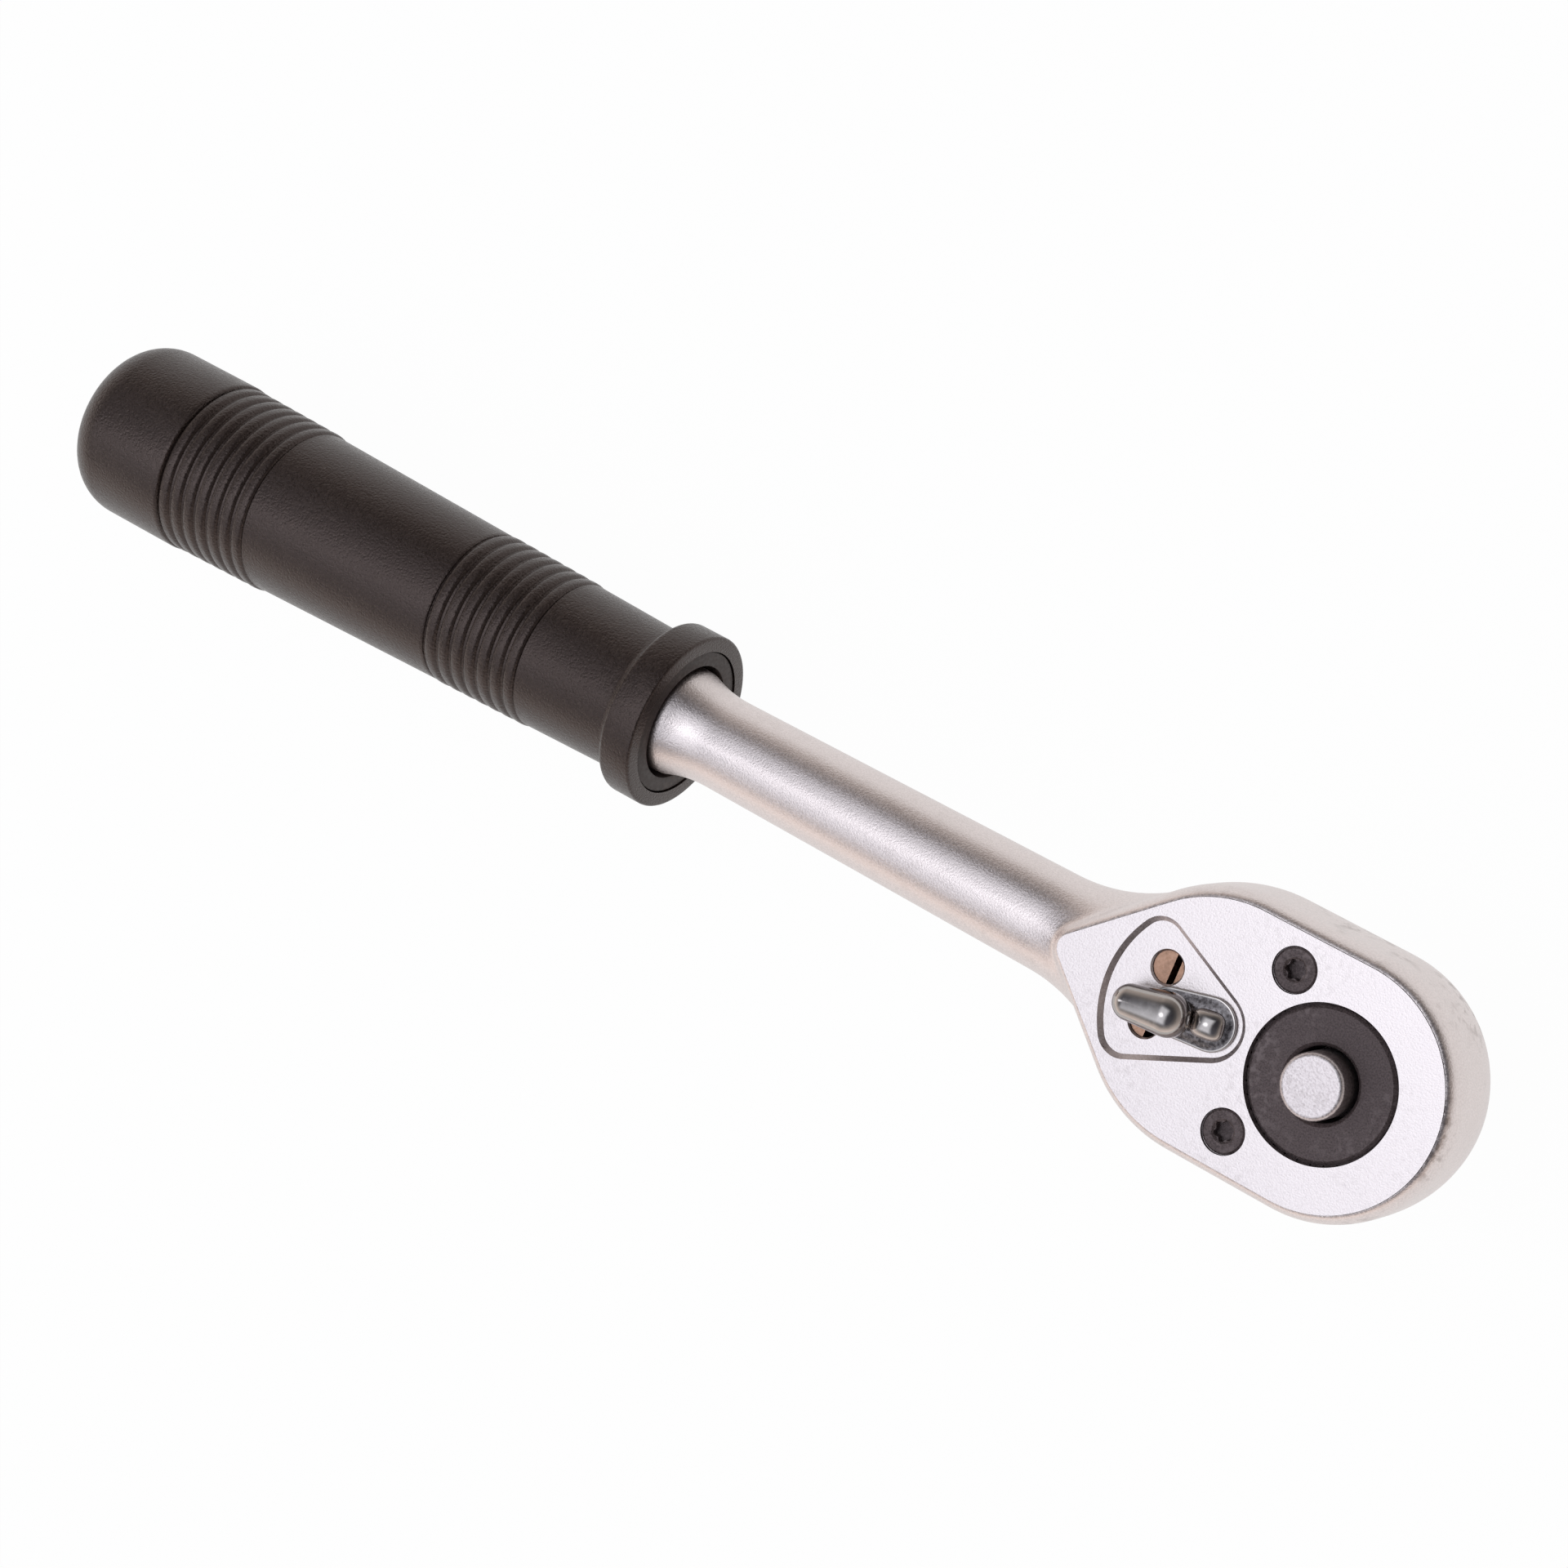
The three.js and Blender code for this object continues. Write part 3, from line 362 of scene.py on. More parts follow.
def coverPlate():
    p = plateSet
    top, seat, low, high = levels["plateTop"], levels["plateSeat"], levels["cutLow"], levels["cutHigh"]
    plate = raised(roundedFace("cover_plate_fine", headArcs(0), seat, headShape["step"]), top - seat)
    combine(plate, disc("hubHole", p["hubHole"], low, high, 160), "DIFFERENCE")
    combine(plate, recessCutter(), "DIFFERENCE")
    combine(plate, disc("shaftHole", p["shaftHole"], low, high, 48, leverX), "DIFFERENCE")
    floor, hole = levels["recessFloor"], p["sightHole"]
    rim = hole + p["sightRim"]
    sightProfile = [(0, low), (hole, low), (hole, floor - p["sightRim"]), (rim, floor), (rim, high), (0, high)]
    thread, sink = bodySet["screwHole"], p["sink"]
    sinkProfile = [(0, low), (thread, low), (thread, p["sinkFrom"]), (sink, p["sinkTo"]), (sink, high), (0, high)]
    sightX, sightY = sightPlace()
    screwX, screwY = bodySet["screw"]
    for side in (1, -1):
        sight = moved(turned("sightHole", sightProfile, sides=64), sightX, side * sightY)
        combine(plate, sight, "DIFFERENCE")
        screwSeat = moved(turned("screwSeat", sinkProfile, sides=72), screwX, side * screwY)
        combine(plate, screwSeat, "DIFFERENCE")
    softEdges(plate, p["edge"], 3, 25)
    smoothShade(plate, 30, True)
    return plate


plate = coverPlate()
print("cover plate", len(plate.data.polygons))

# Cover screw: countersunk, six-lobe socket, modelled once and copied to the other side
screwSet = {
    "head": 3.2, "headFrom": 33.85, "thread": 2.0, "threadFrom": 26.5, "threadTo": 33.3, "drop": 0.15,
    "chamfer": 0.3, "socket": 1.4, "lobes": 6, "lobe": 0.18, "socketDepth": 1.6, "socketCut": 3,
    "mouth": 1.75, "mouthDepth": 0.3, "edge": 0.08, "turns": (math.radians(12), math.radians(34)),
}


def coverScrew():
    s = screwSet
    top = levels["plateTop"] - s["drop"]
    head, thread, chamfer = s["head"], s["thread"], s["chamfer"]
    profile = [(0, s["threadFrom"]), (thread, s["threadFrom"]), (thread, s["threadTo"]), (head, s["headFrom"])]
    profile += [(head, top - chamfer), (head - chamfer, top), (0, top)]
    screw = turned("cover_screw_fine", profile, sides=72)
    clearSelection()
    bpy.ops.mesh.primitive_circle_add(
        vertices=96, radius=s["socket"] * mm, fill_type="NGON", location=(0, 0, (top - s["socketDepth"]) * mm),
    )
    socket = bpy.context.object
    bpy.ops.object.transform_apply(location=True)
    for corner in socket.data.vertices:  # six lobes round the socket's outline
        angle = math.atan2(corner.co.y, corner.co.x)
        stretch = 1 + s["lobe"] / s["socket"] * math.cos(s["lobes"] * angle)
        corner.co.x *= stretch
        corner.co.y *= stretch
    raised(socket, s["socketCut"])
    combine(screw, socket, "DIFFERENCE")
    mouth, foot = s["mouth"], top - s["mouthDepth"]
    mouthProfile = [(0, foot), (s["socket"], foot), (mouth, top), (mouth, top + over), (0, top + over)]
    combine(screw, turned("socketMouth", mouthProfile, sides=72), "DIFFERENCE")
    softEdges(screw, s["edge"], 2, 30)
    smoothShade(screw, 30, True)
    return screw


screwLeft = coverScrew()
screwRight = screwLeft.copy()
screwRight.data = screwLeft.data.copy()
bpy.context.collection.objects.link(screwRight)
screwLeft.name, screwRight.name = "cover_screw_left_fine", "cover_screw_right_fine"
screwX, screwY = bodySet["screw"]
moved(screwLeft, screwX, screwY, 0, screwSet["turns"][0])
moved(screwRight, screwX, -screwY, 0, screwSet["turns"][1])
print("cover screws")

# Drive: hub ring, toothed gear, journal and the square with its ball hole
driveSet = {
    "hub": 10.85, "hubEdge": 0.5, "well": 5.3, "wellFloor": 24.8, "pinHole": 2.7, "pinHoleFloor": 2.5,
    "teeth": 36, "tip": 12.15, "root": 11.0, "rim": 11.9, "gearBottom": 19.6, "gearTop": 33.2, "journal": 9.3,
    "squareHalf": 6.35, "squareCorner": 1.2, "squareLength": 15.5, "endChamfer": 1.0,
    "ballHeight": 7.5, "ballHole": 2.52, "lip": 2.25, "lipFrom": 6.1, "lipTo": 9, "edge": 0.12,
}


def driveGear():
    d = driveSet
    hub, hubTop, edge = d["hub"], levels["hubTop"], d["hubEdge"]
    low, bottom, top = d["squareLength"], d["gearBottom"], d["gearTop"]
    gearProfile = [(0, low), (d["journal"], low), (d["journal"], bottom), (d["tip"], bottom), (d["tip"], top)]
    gearProfile += [(hub, top), (hub, hubTop - edge), (hub - edge, hubTop), (0, hubTop)]
    gear = turned("drive_gear_fine", gearProfile, sides=d["teeth"] * 4)
    for corner in gear.data.vertices:  # between two teeth the rim drops to the root
        radius = math.hypot(corner.co.x, corner.co.y)
        if radius > d["rim"] * mm:
            turn = math.atan2(corner.co.y, corner.co.x) / (2 * math.pi) * d["teeth"]
            drop = abs(turn - round(turn)) * 2 * (d["tip"] - d["root"]) * mm
            corner.co.x *= (radius - drop) / radius
            corner.co.y *= (radius - drop) / radius
    inner = d["squareHalf"] - d["squareCorner"]
    arcs = cornerArcs(inner, -inner, inner, d["squareCorner"])
    square = raised(roundedFace("driveSquare", arcs, d["endChamfer"], 9), d["squareLength"])
    editMesh(square)
    pickFaces(square, lambda centre, normal: normal.z < -0.9)
    bpy.ops.mesh.inset(thickness=d["endChamfer"] * mm, depth=d["endChamfer"] * mm)
    leaveEdit()
    combine(gear, square, "UNION")
    pin, well, high = d["pinHole"], d["well"], levels["cutHigh"]
    wellProfile = [(0, d["pinHoleFloor"]), (pin, d["pinHoleFloor"]), (pin, d["wellFloor"]), (well, d["wellFloor"])]
    wellProfile += [(well, hubTop - edge), (well + edge, hubTop), (well + edge, high), (0, high)]
    combine(gear, turned("buttonWell", wellProfile), "DIFFERENCE")
    wide, lip = d["ballHole"], d["lip"]
    ballProfile = [(0, 0), (wide, 0), (wide, d["lipFrom"]), (lip, d["lipFrom"]), (lip, d["lipTo"]), (0, d["lipTo"])]
    hole = moved(turned("ballHole", ballProfile, sides=64), z=d["ballHeight"], turn=-quarter, about="X")
    combine(gear, hole, "DIFFERENCE")
    softEdges(gear, d["edge"], 2, 35)
    smoothShade(gear, 30, True)
    return gear


gear = driveGear()
print("drive gear", len(gear.data.polygons))

# Release button on its pin
buttonSet = {
    "radius": 4.7, "top": 38.0, "skirt": 31.8, "round": 0.75, "pin": 2.5, "pinEnd": 6.09,
    "waist": 1.136, "waistLevels": (7.09, 10.5, 13.02, 14.38),
}


def releaseButton():
    b = buttonSet
    pin, waist, end = b["pin"], b["waist"], b["pinEnd"]
    coneStart, waistStart, waistEnd, coneEnd = b["waistLevels"]
    profile = [(0, end), (pin, end), (pin, coneStart), (waist, waistStart), (waist, waistEnd), (pin, coneEnd)]
    profile += [(pin, b["skirt"]), (b["radius"], b["skirt"])]
    profile += arcProfile(b["radius"] - b["round"], b["top"] - b["round"], b["round"], 0, quarter)
    profile.append((0, b["top"]))
    button = turned("release_button_fine", profile)
    smoothShade(button, 30, True)
    return button


button = releaseButton()
print("release button")

# Release spring: a wire coil under the button's skirt
springSet = {"wire": 0.35, "sides": 12, "turns": 4, "steps": 40, "stroke": 3.0}


def releaseSpring():
    s = springSet
    low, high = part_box("release_spring")
    wire = s["wire"] * mm
    clearSelection()
    bpy.ops.mesh.primitive_circle_add(
        vertices=s["sides"], radius=wire, rotation=(quarter, 0, 0), location=(high.x - wire, 0, low.z + wire),
    )
    spring = bpy.context.object
    spring.name = "release_spring_fine"
    bpy.ops.object.transform_apply(location=True, rotation=True, scale=True)
    applied(
        spring, "SCREW", axis="Z", angle=2 * math.pi, iterations=s["turns"], steps=s["steps"],
        render_steps=s["steps"], screw_offset=(high.z - low.z - 2 * wire) / s["turns"],
    )
    editMesh(spring)
    bpy.ops.mesh.select_all(action="SELECT")
    bpy.ops.mesh.fill_holes(sides=0)
    bpy.ops.mesh.normals_make_consistent(inside=False)
    leaveEdit()
    smoothShade(spring, 40)
    return spring


def shortenSpring(spring):  # gives the spring its own mesh
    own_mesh(spring)


spring = releaseSpring()
print("release spring", len(spring.data.polygons))

# Reversing lever: rounded tab and thumb knob, turned with the throw about its pivot
leverSet = {
    "throw": math.radians(10), "tab": 3.9, "tabEnd": 3.4, "tabReach": 6.4, "edge": 0.22, "thick": 1.2,
    "crown": ((0.12, 0.0), (0.5, 0.25), (0.5, 0.21), (0.5, 0.16), (0.5, 0.07)),
    "knobStart": (5.15, 3.2), "knobEnd": (10.9, 2.65), "knobRise": 2.03,
    "tenon": (2.25, 1.85, 1.0), "tenonFloor": 33, "tenonCut": 3,
}


def pillKnob():
    s = leverSet
    (start, startRadius), (end, endRadius) = s["knobStart"], s["knobEnd"]
    lean = math.asin((startRadius - endRadius) / (end - start))
    profile = arcProfile(0, -end, endRadius, -quarter, -lean, 16)
    profile += arcProfile(0, -start, startRadius, -lean, quarter, 16)
    return turned("pillKnob", profile, "X", 96, levels["tabTop"] + s["knobRise"])


def crownRise():
    return sum(rise for inset, rise in leverSet["crown"])


def reverseLever():
    s = leverSet
    taper = math.asin((s["tab"] - s["tabEnd"]) / s["tabReach"])
    side = quarter + taper
    arcs = [(0, 0, s["tab"], -side, side), (-s["tabReach"], 0, s["tabEnd"], side, 2 * math.pi - side)]
    tab = roundedFace("reverse_lever_fine", arcs, levels["tabBottom"], 3)
    raised(tab, s["thick"] - crownRise())
    softEdges(tab, s["edge"], 3, 40)
    editMesh(tab)
    pickFaces(tab, lambda centre, normal: normal.z > 0.99)
    for inset, rise in s["crown"]:
        bpy.ops.mesh.inset(thickness=inset * mm, depth=rise * mm)
    leaveEdit()
    combine(tab, pillKnob(), "UNION")
    halfX, halfY, corner = s["tenon"]
    tenonArcs = cornerArcs(halfX - corner, corner - halfX, halfY - corner, corner)
    tenonHole = raised(roundedFace("tenonHole", tenonArcs, s["tenonFloor"], 9), s["tenonCut"])
    combine(tab, tenonHole, "DIFFERENCE")
    smoothShade(tab, 50)
    return moved(tab, leverX, 0, 0, s["throw"])


lever = reverseLever()
print("reverse lever", len(lever.data.polygons))

# Selector shaft: round, with a peened head on the tab
shaftSet = {
    "radius": 2.6, "bottom": 17.4, "peenLength": 5.0, "peenWidth": 4.2, "peenHeight": 1.6, "peenFoot": 0.6,
    "squareness": 3.2,
}


def selectorShaft():
    s = shaftSet
    power = s["squareness"]
    shaft = disc("selector_shaft_fine", s["radius"], s["bottom"], levels["tabBottom"], 48)
    clearSelection()
    bpy.ops.mesh.primitive_uv_sphere_add(segments=48, ring_count=24, radius=mm)
    peen = bpy.context.object
    halfLength, halfWidth = s["peenLength"] / 2, s["peenWidth"] / 2
    for corner in peen.data.vertices:  # squared-off dome, shallow underneath
        x, y, z = corner.co / mm
        flat = math.hypot(x, y)
        if flat > 1e-6:
            angle = math.atan2(y, x)
            squared = (abs(math.cos(angle)) ** power + abs(math.sin(angle)) ** power) ** (-1 / power)
            reach = flat * (1 + (squared - 1) * flat ** 2)
            x, y = reach * halfLength * math.cos(angle), reach * halfWidth * math.sin(angle)
        height = z * (s["peenHeight"] if z > 0 else s["peenFoot"])
        corner.co = Vector((x, y, levels["tabTop"] + height)) * mm
    combine(shaft, peen, "UNION")
    smoothShade(shaft, 40)
    return moved(shaft, leverX, 0, 0, leverSet["throw"])


shaft = selectorShaft()
print("selector shaft")

# Moulded grip: flange, waist, two ribbed bands and a rounded butt, over a hard core
gripSet = {
    "front": bodySet["gripFront"], "butt": -233.95,
    "flange": 14.0, "flangeWidth": 5.9, "flangeEdge": 0.45, "flangeBack": 0.9, "waist": 11.5, "fillet": 1.7,
    "bandFront": (23.9, 41.7, 12.15, 12.6), "bandBack": (78.4, 96.3, 13.8, 14.2), "bandStep": 0.2,
    "ribs": 7, "ribDepth": 0.5, "ribFoot": 0.43, "ribRound": 4, "ribShares": (1.0, 0.85, 0.7, 0.5, 0.2),
    "mid": (12.5, 13.5), "softStep": ((0.34, 0.0), (0.14, 0.1), (0.04, 0.3), (0.0, 0.6)),
    "buttRadius": 14.4, "buttRound": 7.0, "buttFlat": 7.6, "buttCrown": 0.9, "crownPoint": (0.6, 0.3),
    "bore": 9.45, "boreDepth": 111.55, "collar": 11.65, "collarDepth": 5.7,
}


def ribProfile(band):  # round-shouldered ribs with narrow grooves between
    start, end, first, last = band
    g = gripSet
    pitch = (end - start) / g["ribs"]
    foot = g["ribFoot"] * pitch
    outline = [(foot * share, g["ribDepth"] * share ** g["ribRound"]) for share in g["ribShares"]]
    points = []
    for rib in range(g["ribs"]):
        crest = start + pitch * (rib + 0.5)
        radius = first + (last - first) * (rib + 0.5) / g["ribs"]
        points += [(radius - drop, g["front"] - (crest - off)) for off, drop in outline]
        points += [(radius - drop, g["front"] - (crest + off)) for off, drop in reversed(outline)]
    return points


def softStep(radius, along):  # rounded edge of the plain grip beside a band
    return [(radius - drop, gripSet["front"] - along - off) for drop, off in gripSet["softStep"]]


def gripSleeve():
    g = gripSet
    front = g["front"]
    length = front - g["butt"]
    roundStart = length - g["buttCrown"] - g["buttRound"]
    edge, back, fillet = g["flangeEdge"], g["flangeBack"], g["fillet"]
    profile = [(g["collar"], front)]
    profile += arcProfile(g["flange"] - edge, front - edge, edge, quarter, 0, 4)
    profile += arcProfile(g["flange"] - back, front - g["flangeWidth"] + back, back, 0, -quarter)
    profile += arcProfile(g["waist"] + fillet, front - g["flangeWidth"] - fillet, fillet, quarter, 2 * quarter)
    profile.append((g["bandFront"][2] - g["bandStep"], front - g["bandFront"][0]))
    profile += ribProfile(g["bandFront"])
    profile += softStep(g["mid"][0], g["bandFront"][1])
    profile.append((g["mid"][1], front - g["bandBack"][0]))
    profile += ribProfile(g["bandBack"])
    profile += softStep(g["buttRadius"], g["bandBack"][1])
    profile.append((g["buttRadius"], front - roundStart))
    for i in range(1, 17):
        angle = quarter * i / 16
        profile.append((
            g["buttFlat"] + (g["buttRadius"] - g["buttFlat"]) * math.cos(angle),
            front - roundStart - g["buttRound"] * math.sin(angle),
        ))
    crownShare, crownRound = g["crownPoint"]
    profile += [(g["buttFlat"] * crownShare, g["butt"] + crownRound), (0, g["butt"])]
    bore = front - g["boreDepth"]
    inside = [(0, bore), (g["bore"], bore), (g["bore"], front - g["collarDepth"])]
    inside += [(g["collar"], front - g["collarDepth"]), (g["collar"], front)]
    sleeve = turned("grip_sleeve_fine", profile + inside, "X", 128, levels["shank"])
    smoothShade(sleeve, 28)
    return sleeve


# Hard core between the tang and the grip
coreSet = {
    "radius": 9.3, "end": -226.8, "collar": 11.5, "faceDrop": 0.2, "mouth": 9.2, "bore": 6.75, "boreEnd": -205.45,
    "edge": 0.18,
}


def gripCore():
    c = coreSet
    front, radius, bore = gripSet["front"], c["radius"], c["bore"]
    step, face, mouth = front - gripSet["collarDepth"], front - c["faceDrop"], front - bodySet["mouthDepth"]
    profile = [(0, c["end"]), (radius, c["end"]), (radius, step), (c["collar"], step), (c["collar"], face)]
    profile += [(c["mouth"], face), (c["mouth"], mouth), (bore, mouth), (bore, c["boreEnd"]), (0, c["boreEnd"])]
    core = turned("grip_core_fine", profile, "X", 128, levels["shank"])
    softEdges(core, c["edge"], 2, 40)
    smoothShade(core, 30)
    return core


sleeve = gripSleeve()
core = gripCore()
print("grip", len(sleeve.data.polygons))

# Finishes


def newGroup(name, inputs, outputs):
    group = bpy.data.node_groups.new(name, "ShaderNodeTree")
    for way, labels in (("INPUT", inputs), ("OUTPUT", outputs)):
        for label in labels:
            kind = "NodeSocketVector" if label == "Vector" else "NodeSocketFloat"
            group.interface.new_socket(name=label, in_out=way, socket_type=kind)
    return group, group.nodes.new("NodeGroupInput"), group.nodes.new("NodeGroupOutput")


def addNode(tree, kind, inputs=None, **settings):
    node = tree.nodes.new(kind)
    for key, value in settings.items():
        setattr(node, key, value)
    for label, value in (inputs or {}).items():
        if isinstance(value, bpy.types.NodeSocket):
            tree.links.new(value, node.inputs[label])
        else:
            node.inputs[label].default_value = value
    return node


def mixColours(tree, share, first, second):
    return addNode(tree, "ShaderNodeMix", {"Factor": share, 6: first, 7: second}, data_type="RGBA").outputs[2]


def blastGrainGroup():  # fine even grain of a blasted or etched surface
    group, given, result = newGroup("blastGrain", ["Vector", "Scale"], ["Height", "Mask"])
    fine = addNode(group, "ShaderNodeTexNoise", {
        "Vector": given.outputs["Vector"], "Scale": given.outputs["Scale"], "Detail": 2.0, "Roughness": 0.55,
    })
    ramp = addNode(group, "ShaderNodeMapRange", {"Value": fine.outputs[0], "From Min": 0.35, "From Max": 0.65})
    group.links.new(fine.outputs[0], result.inputs["Height"])
    group.links.new(ramp.outputs[0], result.inputs["Mask"])
    return group


def handlingMarksGroup():  # small flecks in scattered patches
    group, given, result = newGroup("handlingMarks", ["Vector", "Scale", "Fleck", "Amount"], ["Mask"])
    cloud = addNode(group, "ShaderNodeTexNoise", {
        "Vector": given.outputs["Vector"], "Scale": given.outputs["Scale"], "Detail": 4.0, "Roughness": 0.6,
    })
    fleck = addNode(group, "ShaderNodeTexNoise", {
        "Vector": given.outputs["Vector"], "Scale": given.outputs["Fleck"], "Detail": 4.0, "Roughness": 0.6,
    })
    spots = addNode(group, "ShaderNodeMapRange", {"Value": fleck.outputs[0], "From Min": 0.50, "From Max": 0.61})
    where = addNode(group, "ShaderNodeMapRange", {"Value": cloud.outputs[0], "From Min": 0.48, "From Max": 0.62})
    both = addNode(group, "ShaderNodeMath", {0: spots.outputs[0], 1: where.outputs[0]}, operation="MULTIPLY")
    amount = addNode(group, "ShaderNodeMath", {0: both.outputs[0], 1: given.outputs["Amount"]}, operation="MULTIPLY")
    group.links.new(amount.outputs[0], result.inputs["Mask"])
    return group


blastGrain = blastGrainGroup()
handlingMarks = handlingMarksGroup()


def newFinish(name):
    finish = bpy.data.materials.new(name)
    finish.use_nodes = True
    tree = finish.node_tree
    coordinates = addNode(tree, "ShaderNodeTexCoord").outputs["Object"]
    return finish, tree, tree.nodes["Principled BSDF"], coordinates


def grained(name, look):  # one recipe for every finish: grain in colour, gloss and bump, and marks
    finish, tree, shader, coordinates = newFinish(name)
    grain = addNode(tree, "ShaderNodeGroup", node_tree=blastGrain, inputs={
        "Vector": coordinates, "Scale": look["grain"],
    })
    marks = addNode(tree, "ShaderNodeGroup", node_tree=handlingMarks, inputs={
        "Vector": coordinates, "Scale": look.get("cloud", 60.0), "Fleck": look.get("fleck", 900.0),
        "Amount": look.get("marks", 0.5),
    })
    tint = mixColours(tree, grain.outputs["Mask"], (*look["dark"], 1), (*look["light"], 1))
    wear = marks.outputs["Mask"]
    if "wearFrom" in look:  # fewer marks along the handle
        along = addNode(tree, "ShaderNodeSeparateXYZ", {"Vector": coordinates}).outputs["X"]
        clear, full, least = look["wearFrom"]
        fade = addNode(tree, "ShaderNodeMapRange", {
            "Value": along, "From Min": clear, "From Max": full, "To Min": least,
        })
        wear = addNode(tree, "ShaderNodeMath", {0: wear, 1: fade.outputs[0]}, operation="MULTIPLY").outputs[0]
    worn = mixColours(tree, wear, tint, (*look["mark"], 1))
    tree.links.new(worn, shader.inputs["Base Color"])
    gloss = addNode(tree, "ShaderNodeMapRange", {
        "Value": grain.outputs["Mask"], "To Min": look["rough"][0], "To Max": look["rough"][1],
    })
    tree.links.new(gloss.outputs[0], shader.inputs["Roughness"])
    bump = addNode(tree, "ShaderNodeBump", {
        "Height": grain.outputs["Height"], "Strength": look["bump"], "Distance": look.get("depth", 2e-5),
    })
    tree.links.new(bump.outputs[0], shader.inputs["Normal"])
    shader.inputs["Metallic"].default_value = look["metal"]
    shader.inputs["Specular IOR Level"].default_value = look.get("specular", 0.5)
    shader.inputs["Specular Tint"].default_value = (*look.get("sheenTint", (1, 1, 1)), 1)
    return finish


finishes = {
    "satinChrome": grained("satinChrome", {
        "dark": (0.60, 0.545, 0.54), "light": (0.75, 0.69, 0.685), "mark": (0.34, 0.30, 0.29), "grain": 3600.0,
        "rough": (0.32, 0.42), "bump": 1.0, "depth": 2.4e-5, "metal": 1.0, "marks": 0.2,
    }),
    "forgedChrome": grained("forgedChrome", {
        "dark": (0.64, 0.575, 0.56), "light": (0.78, 0.705, 0.69), "mark": (0.30, 0.25, 0.23), "grain": 3600.0,
        "rough": (0.30, 0.40), "bump": 1.0, "depth": 4.2e-5, "metal": 1.0, "marks": 0.7, "cloud": 75.0, "fleck": 480.0,
        "wearFrom": (-0.03, 0.0, 0.12),
    }),
    "buttonChrome": grained("buttonChrome", {
        "dark": (0.48, 0.43, 0.43), "light": (0.70, 0.64, 0.64), "mark": (0.28, 0.24, 0.23), "grain": 2900.0,
        "rough": (0.34, 0.44), "bump": 1.0, "depth": 4e-5, "metal": 1.0, "marks": 0.3,
    }),
    "polishedChrome": grained("polishedChrome", {
        "dark": (0.37, 0.34, 0.325), "light": (0.43, 0.40, 0.385), "mark": (0.24, 0.21, 0.20), "grain": 900.0,
        "rough": (0.12, 0.18), "bump": 0.2, "depth": 3e-5, "metal": 1.0, "marks": 0.3,
    }),
    # Darker copy of the lever's chrome for the tab's top: painted shade standing in for its dark reflection
    "tabSteelPaintedShade": grained("tabSteelPaintedShade", {
        "dark": (0.09, 0.08, 0.082), "light": (0.27, 0.25, 0.255), "mark": (0.42, 0.39, 0.38), "grain": 1900.0,
        "rough": (0.20, 0.32), "bump": 1.0, "depth": 3e-5, "metal": 1.0, "marks": 0.4, "fleck": 1500.0,
    }),
    "blackOxide": grained("blackOxide", {
        "dark": (0.050, 0.038, 0.038), "light": (0.135, 0.106, 0.107), "mark": (0.24, 0.20, 0.20), "grain": 4200.0,
        "rough": (0.50, 0.64), "bump": 0.8, "depth": 4e-5, "metal": 0.4, "marks": 0.5,
        "sheenTint": (1.0, 0.88, 0.88),
    }),
    "bronzedSteel": grained("bronzedSteel", {
        "dark": (0.27, 0.158, 0.108), "light": (0.47, 0.288, 0.208), "mark": (0.10, 0.065, 0.05), "grain": 2600.0,
        "rough": (0.32, 0.5), "bump": 0.2, "metal": 1.0, "marks": 0.8,
    }),
    "brightSteel": grained("brightSteel", {
        "dark": (0.50, 0.50, 0.51), "light": (0.60, 0.60, 0.61), "mark": (0.3, 0.3, 0.3), "grain": 1500.0,
        "rough": (0.16, 0.26), "bump": 0.06, "metal": 1.0,
    }),
    "springSteel": grained("springSteel", {
        "dark": (0.24, 0.24, 0.26), "light": (0.34, 0.34, 0.36), "mark": (0.15, 0.14, 0.14), "grain": 1500.0,
        "rough": (0.28, 0.42), "bump": 0.1, "metal": 1.0,
    }),
    "gripMoulding": grained("gripMoulding", {
        "dark": (0.009, 0.006, 0.005), "light": (0.020, 0.014, 0.012), "mark": (0.05, 0.037, 0.03), "grain": 2600.0,
        "rough": (0.26, 0.38), "bump": 1.0, "depth": 1.1e-4, "metal": 0.0, "marks": 0.3, "specular": 0.58,
        "sheenTint": (1.0, 0.78, 0.72),
    }),
    "coreMoulding": grained("coreMoulding", {
        "dark": (0.020, 0.015, 0.014), "light": (0.032, 0.025, 0.023), "mark": (0.07, 0.05, 0.04), "grain": 2000.0,
        "rough": (0.45, 0.6), "bump": 0.4, "depth": 3e-5, "metal": 0.0, "marks": 0.6, "sheenTint": (1.0, 0.85, 0.80),
    }),
    "sealRubber": grained("sealRubber", {
        "dark": (0.010, 0.009, 0.009), "light": (0.016, 0.014, 0.014), "mark": (0.04, 0.035, 0.03), "grain": 1500.0,
        "rough": (0.6, 0.75), "bump": 0.3, "metal": 0.0,
    }),
}
print("finishes")


def dress(piece, finish, body, node):
    piece.data.materials.clear()
    piece.data.materials.append(finishes[finish])
    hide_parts(node)
    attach(piece, body)


# Some second finishes are painted shade, as on the sight holes' walls and the tab's top
def insideFaces(piece, finish, test):  # faces that take a second finish
    piece.data.materials.append(finishes[finish])
    for face in piece.data.polygons:
        if test(face.center / mm, face.normal):
            face.material_index = 1


# Limits of those faces, mm
insideSet = {"back": -31, "low": 18, "slack": 0.05, "well": 12.7, "pocket": (-26.6, 10.2), "tab": (0.04, 0.02)}


def underPlate(centre, normal):
    seat, slack = levels["plateSeat"], insideSet["slack"]
    if centre.x < insideSet["back"] or centre.z < insideSet["low"] or centre.z > seat + slack:
        return False
    bed = normal.z > 0.99 and centre.z > seat - slack
    well = math.hypot(centre.x, centre.y) < insideSet["well"]
    pocketBack, pocketHalf = insideSet["pocket"]
    pocket = pocketBack < centre.x < 0 and abs(centre.y) < pocketHalf
    return bed or well or pocket
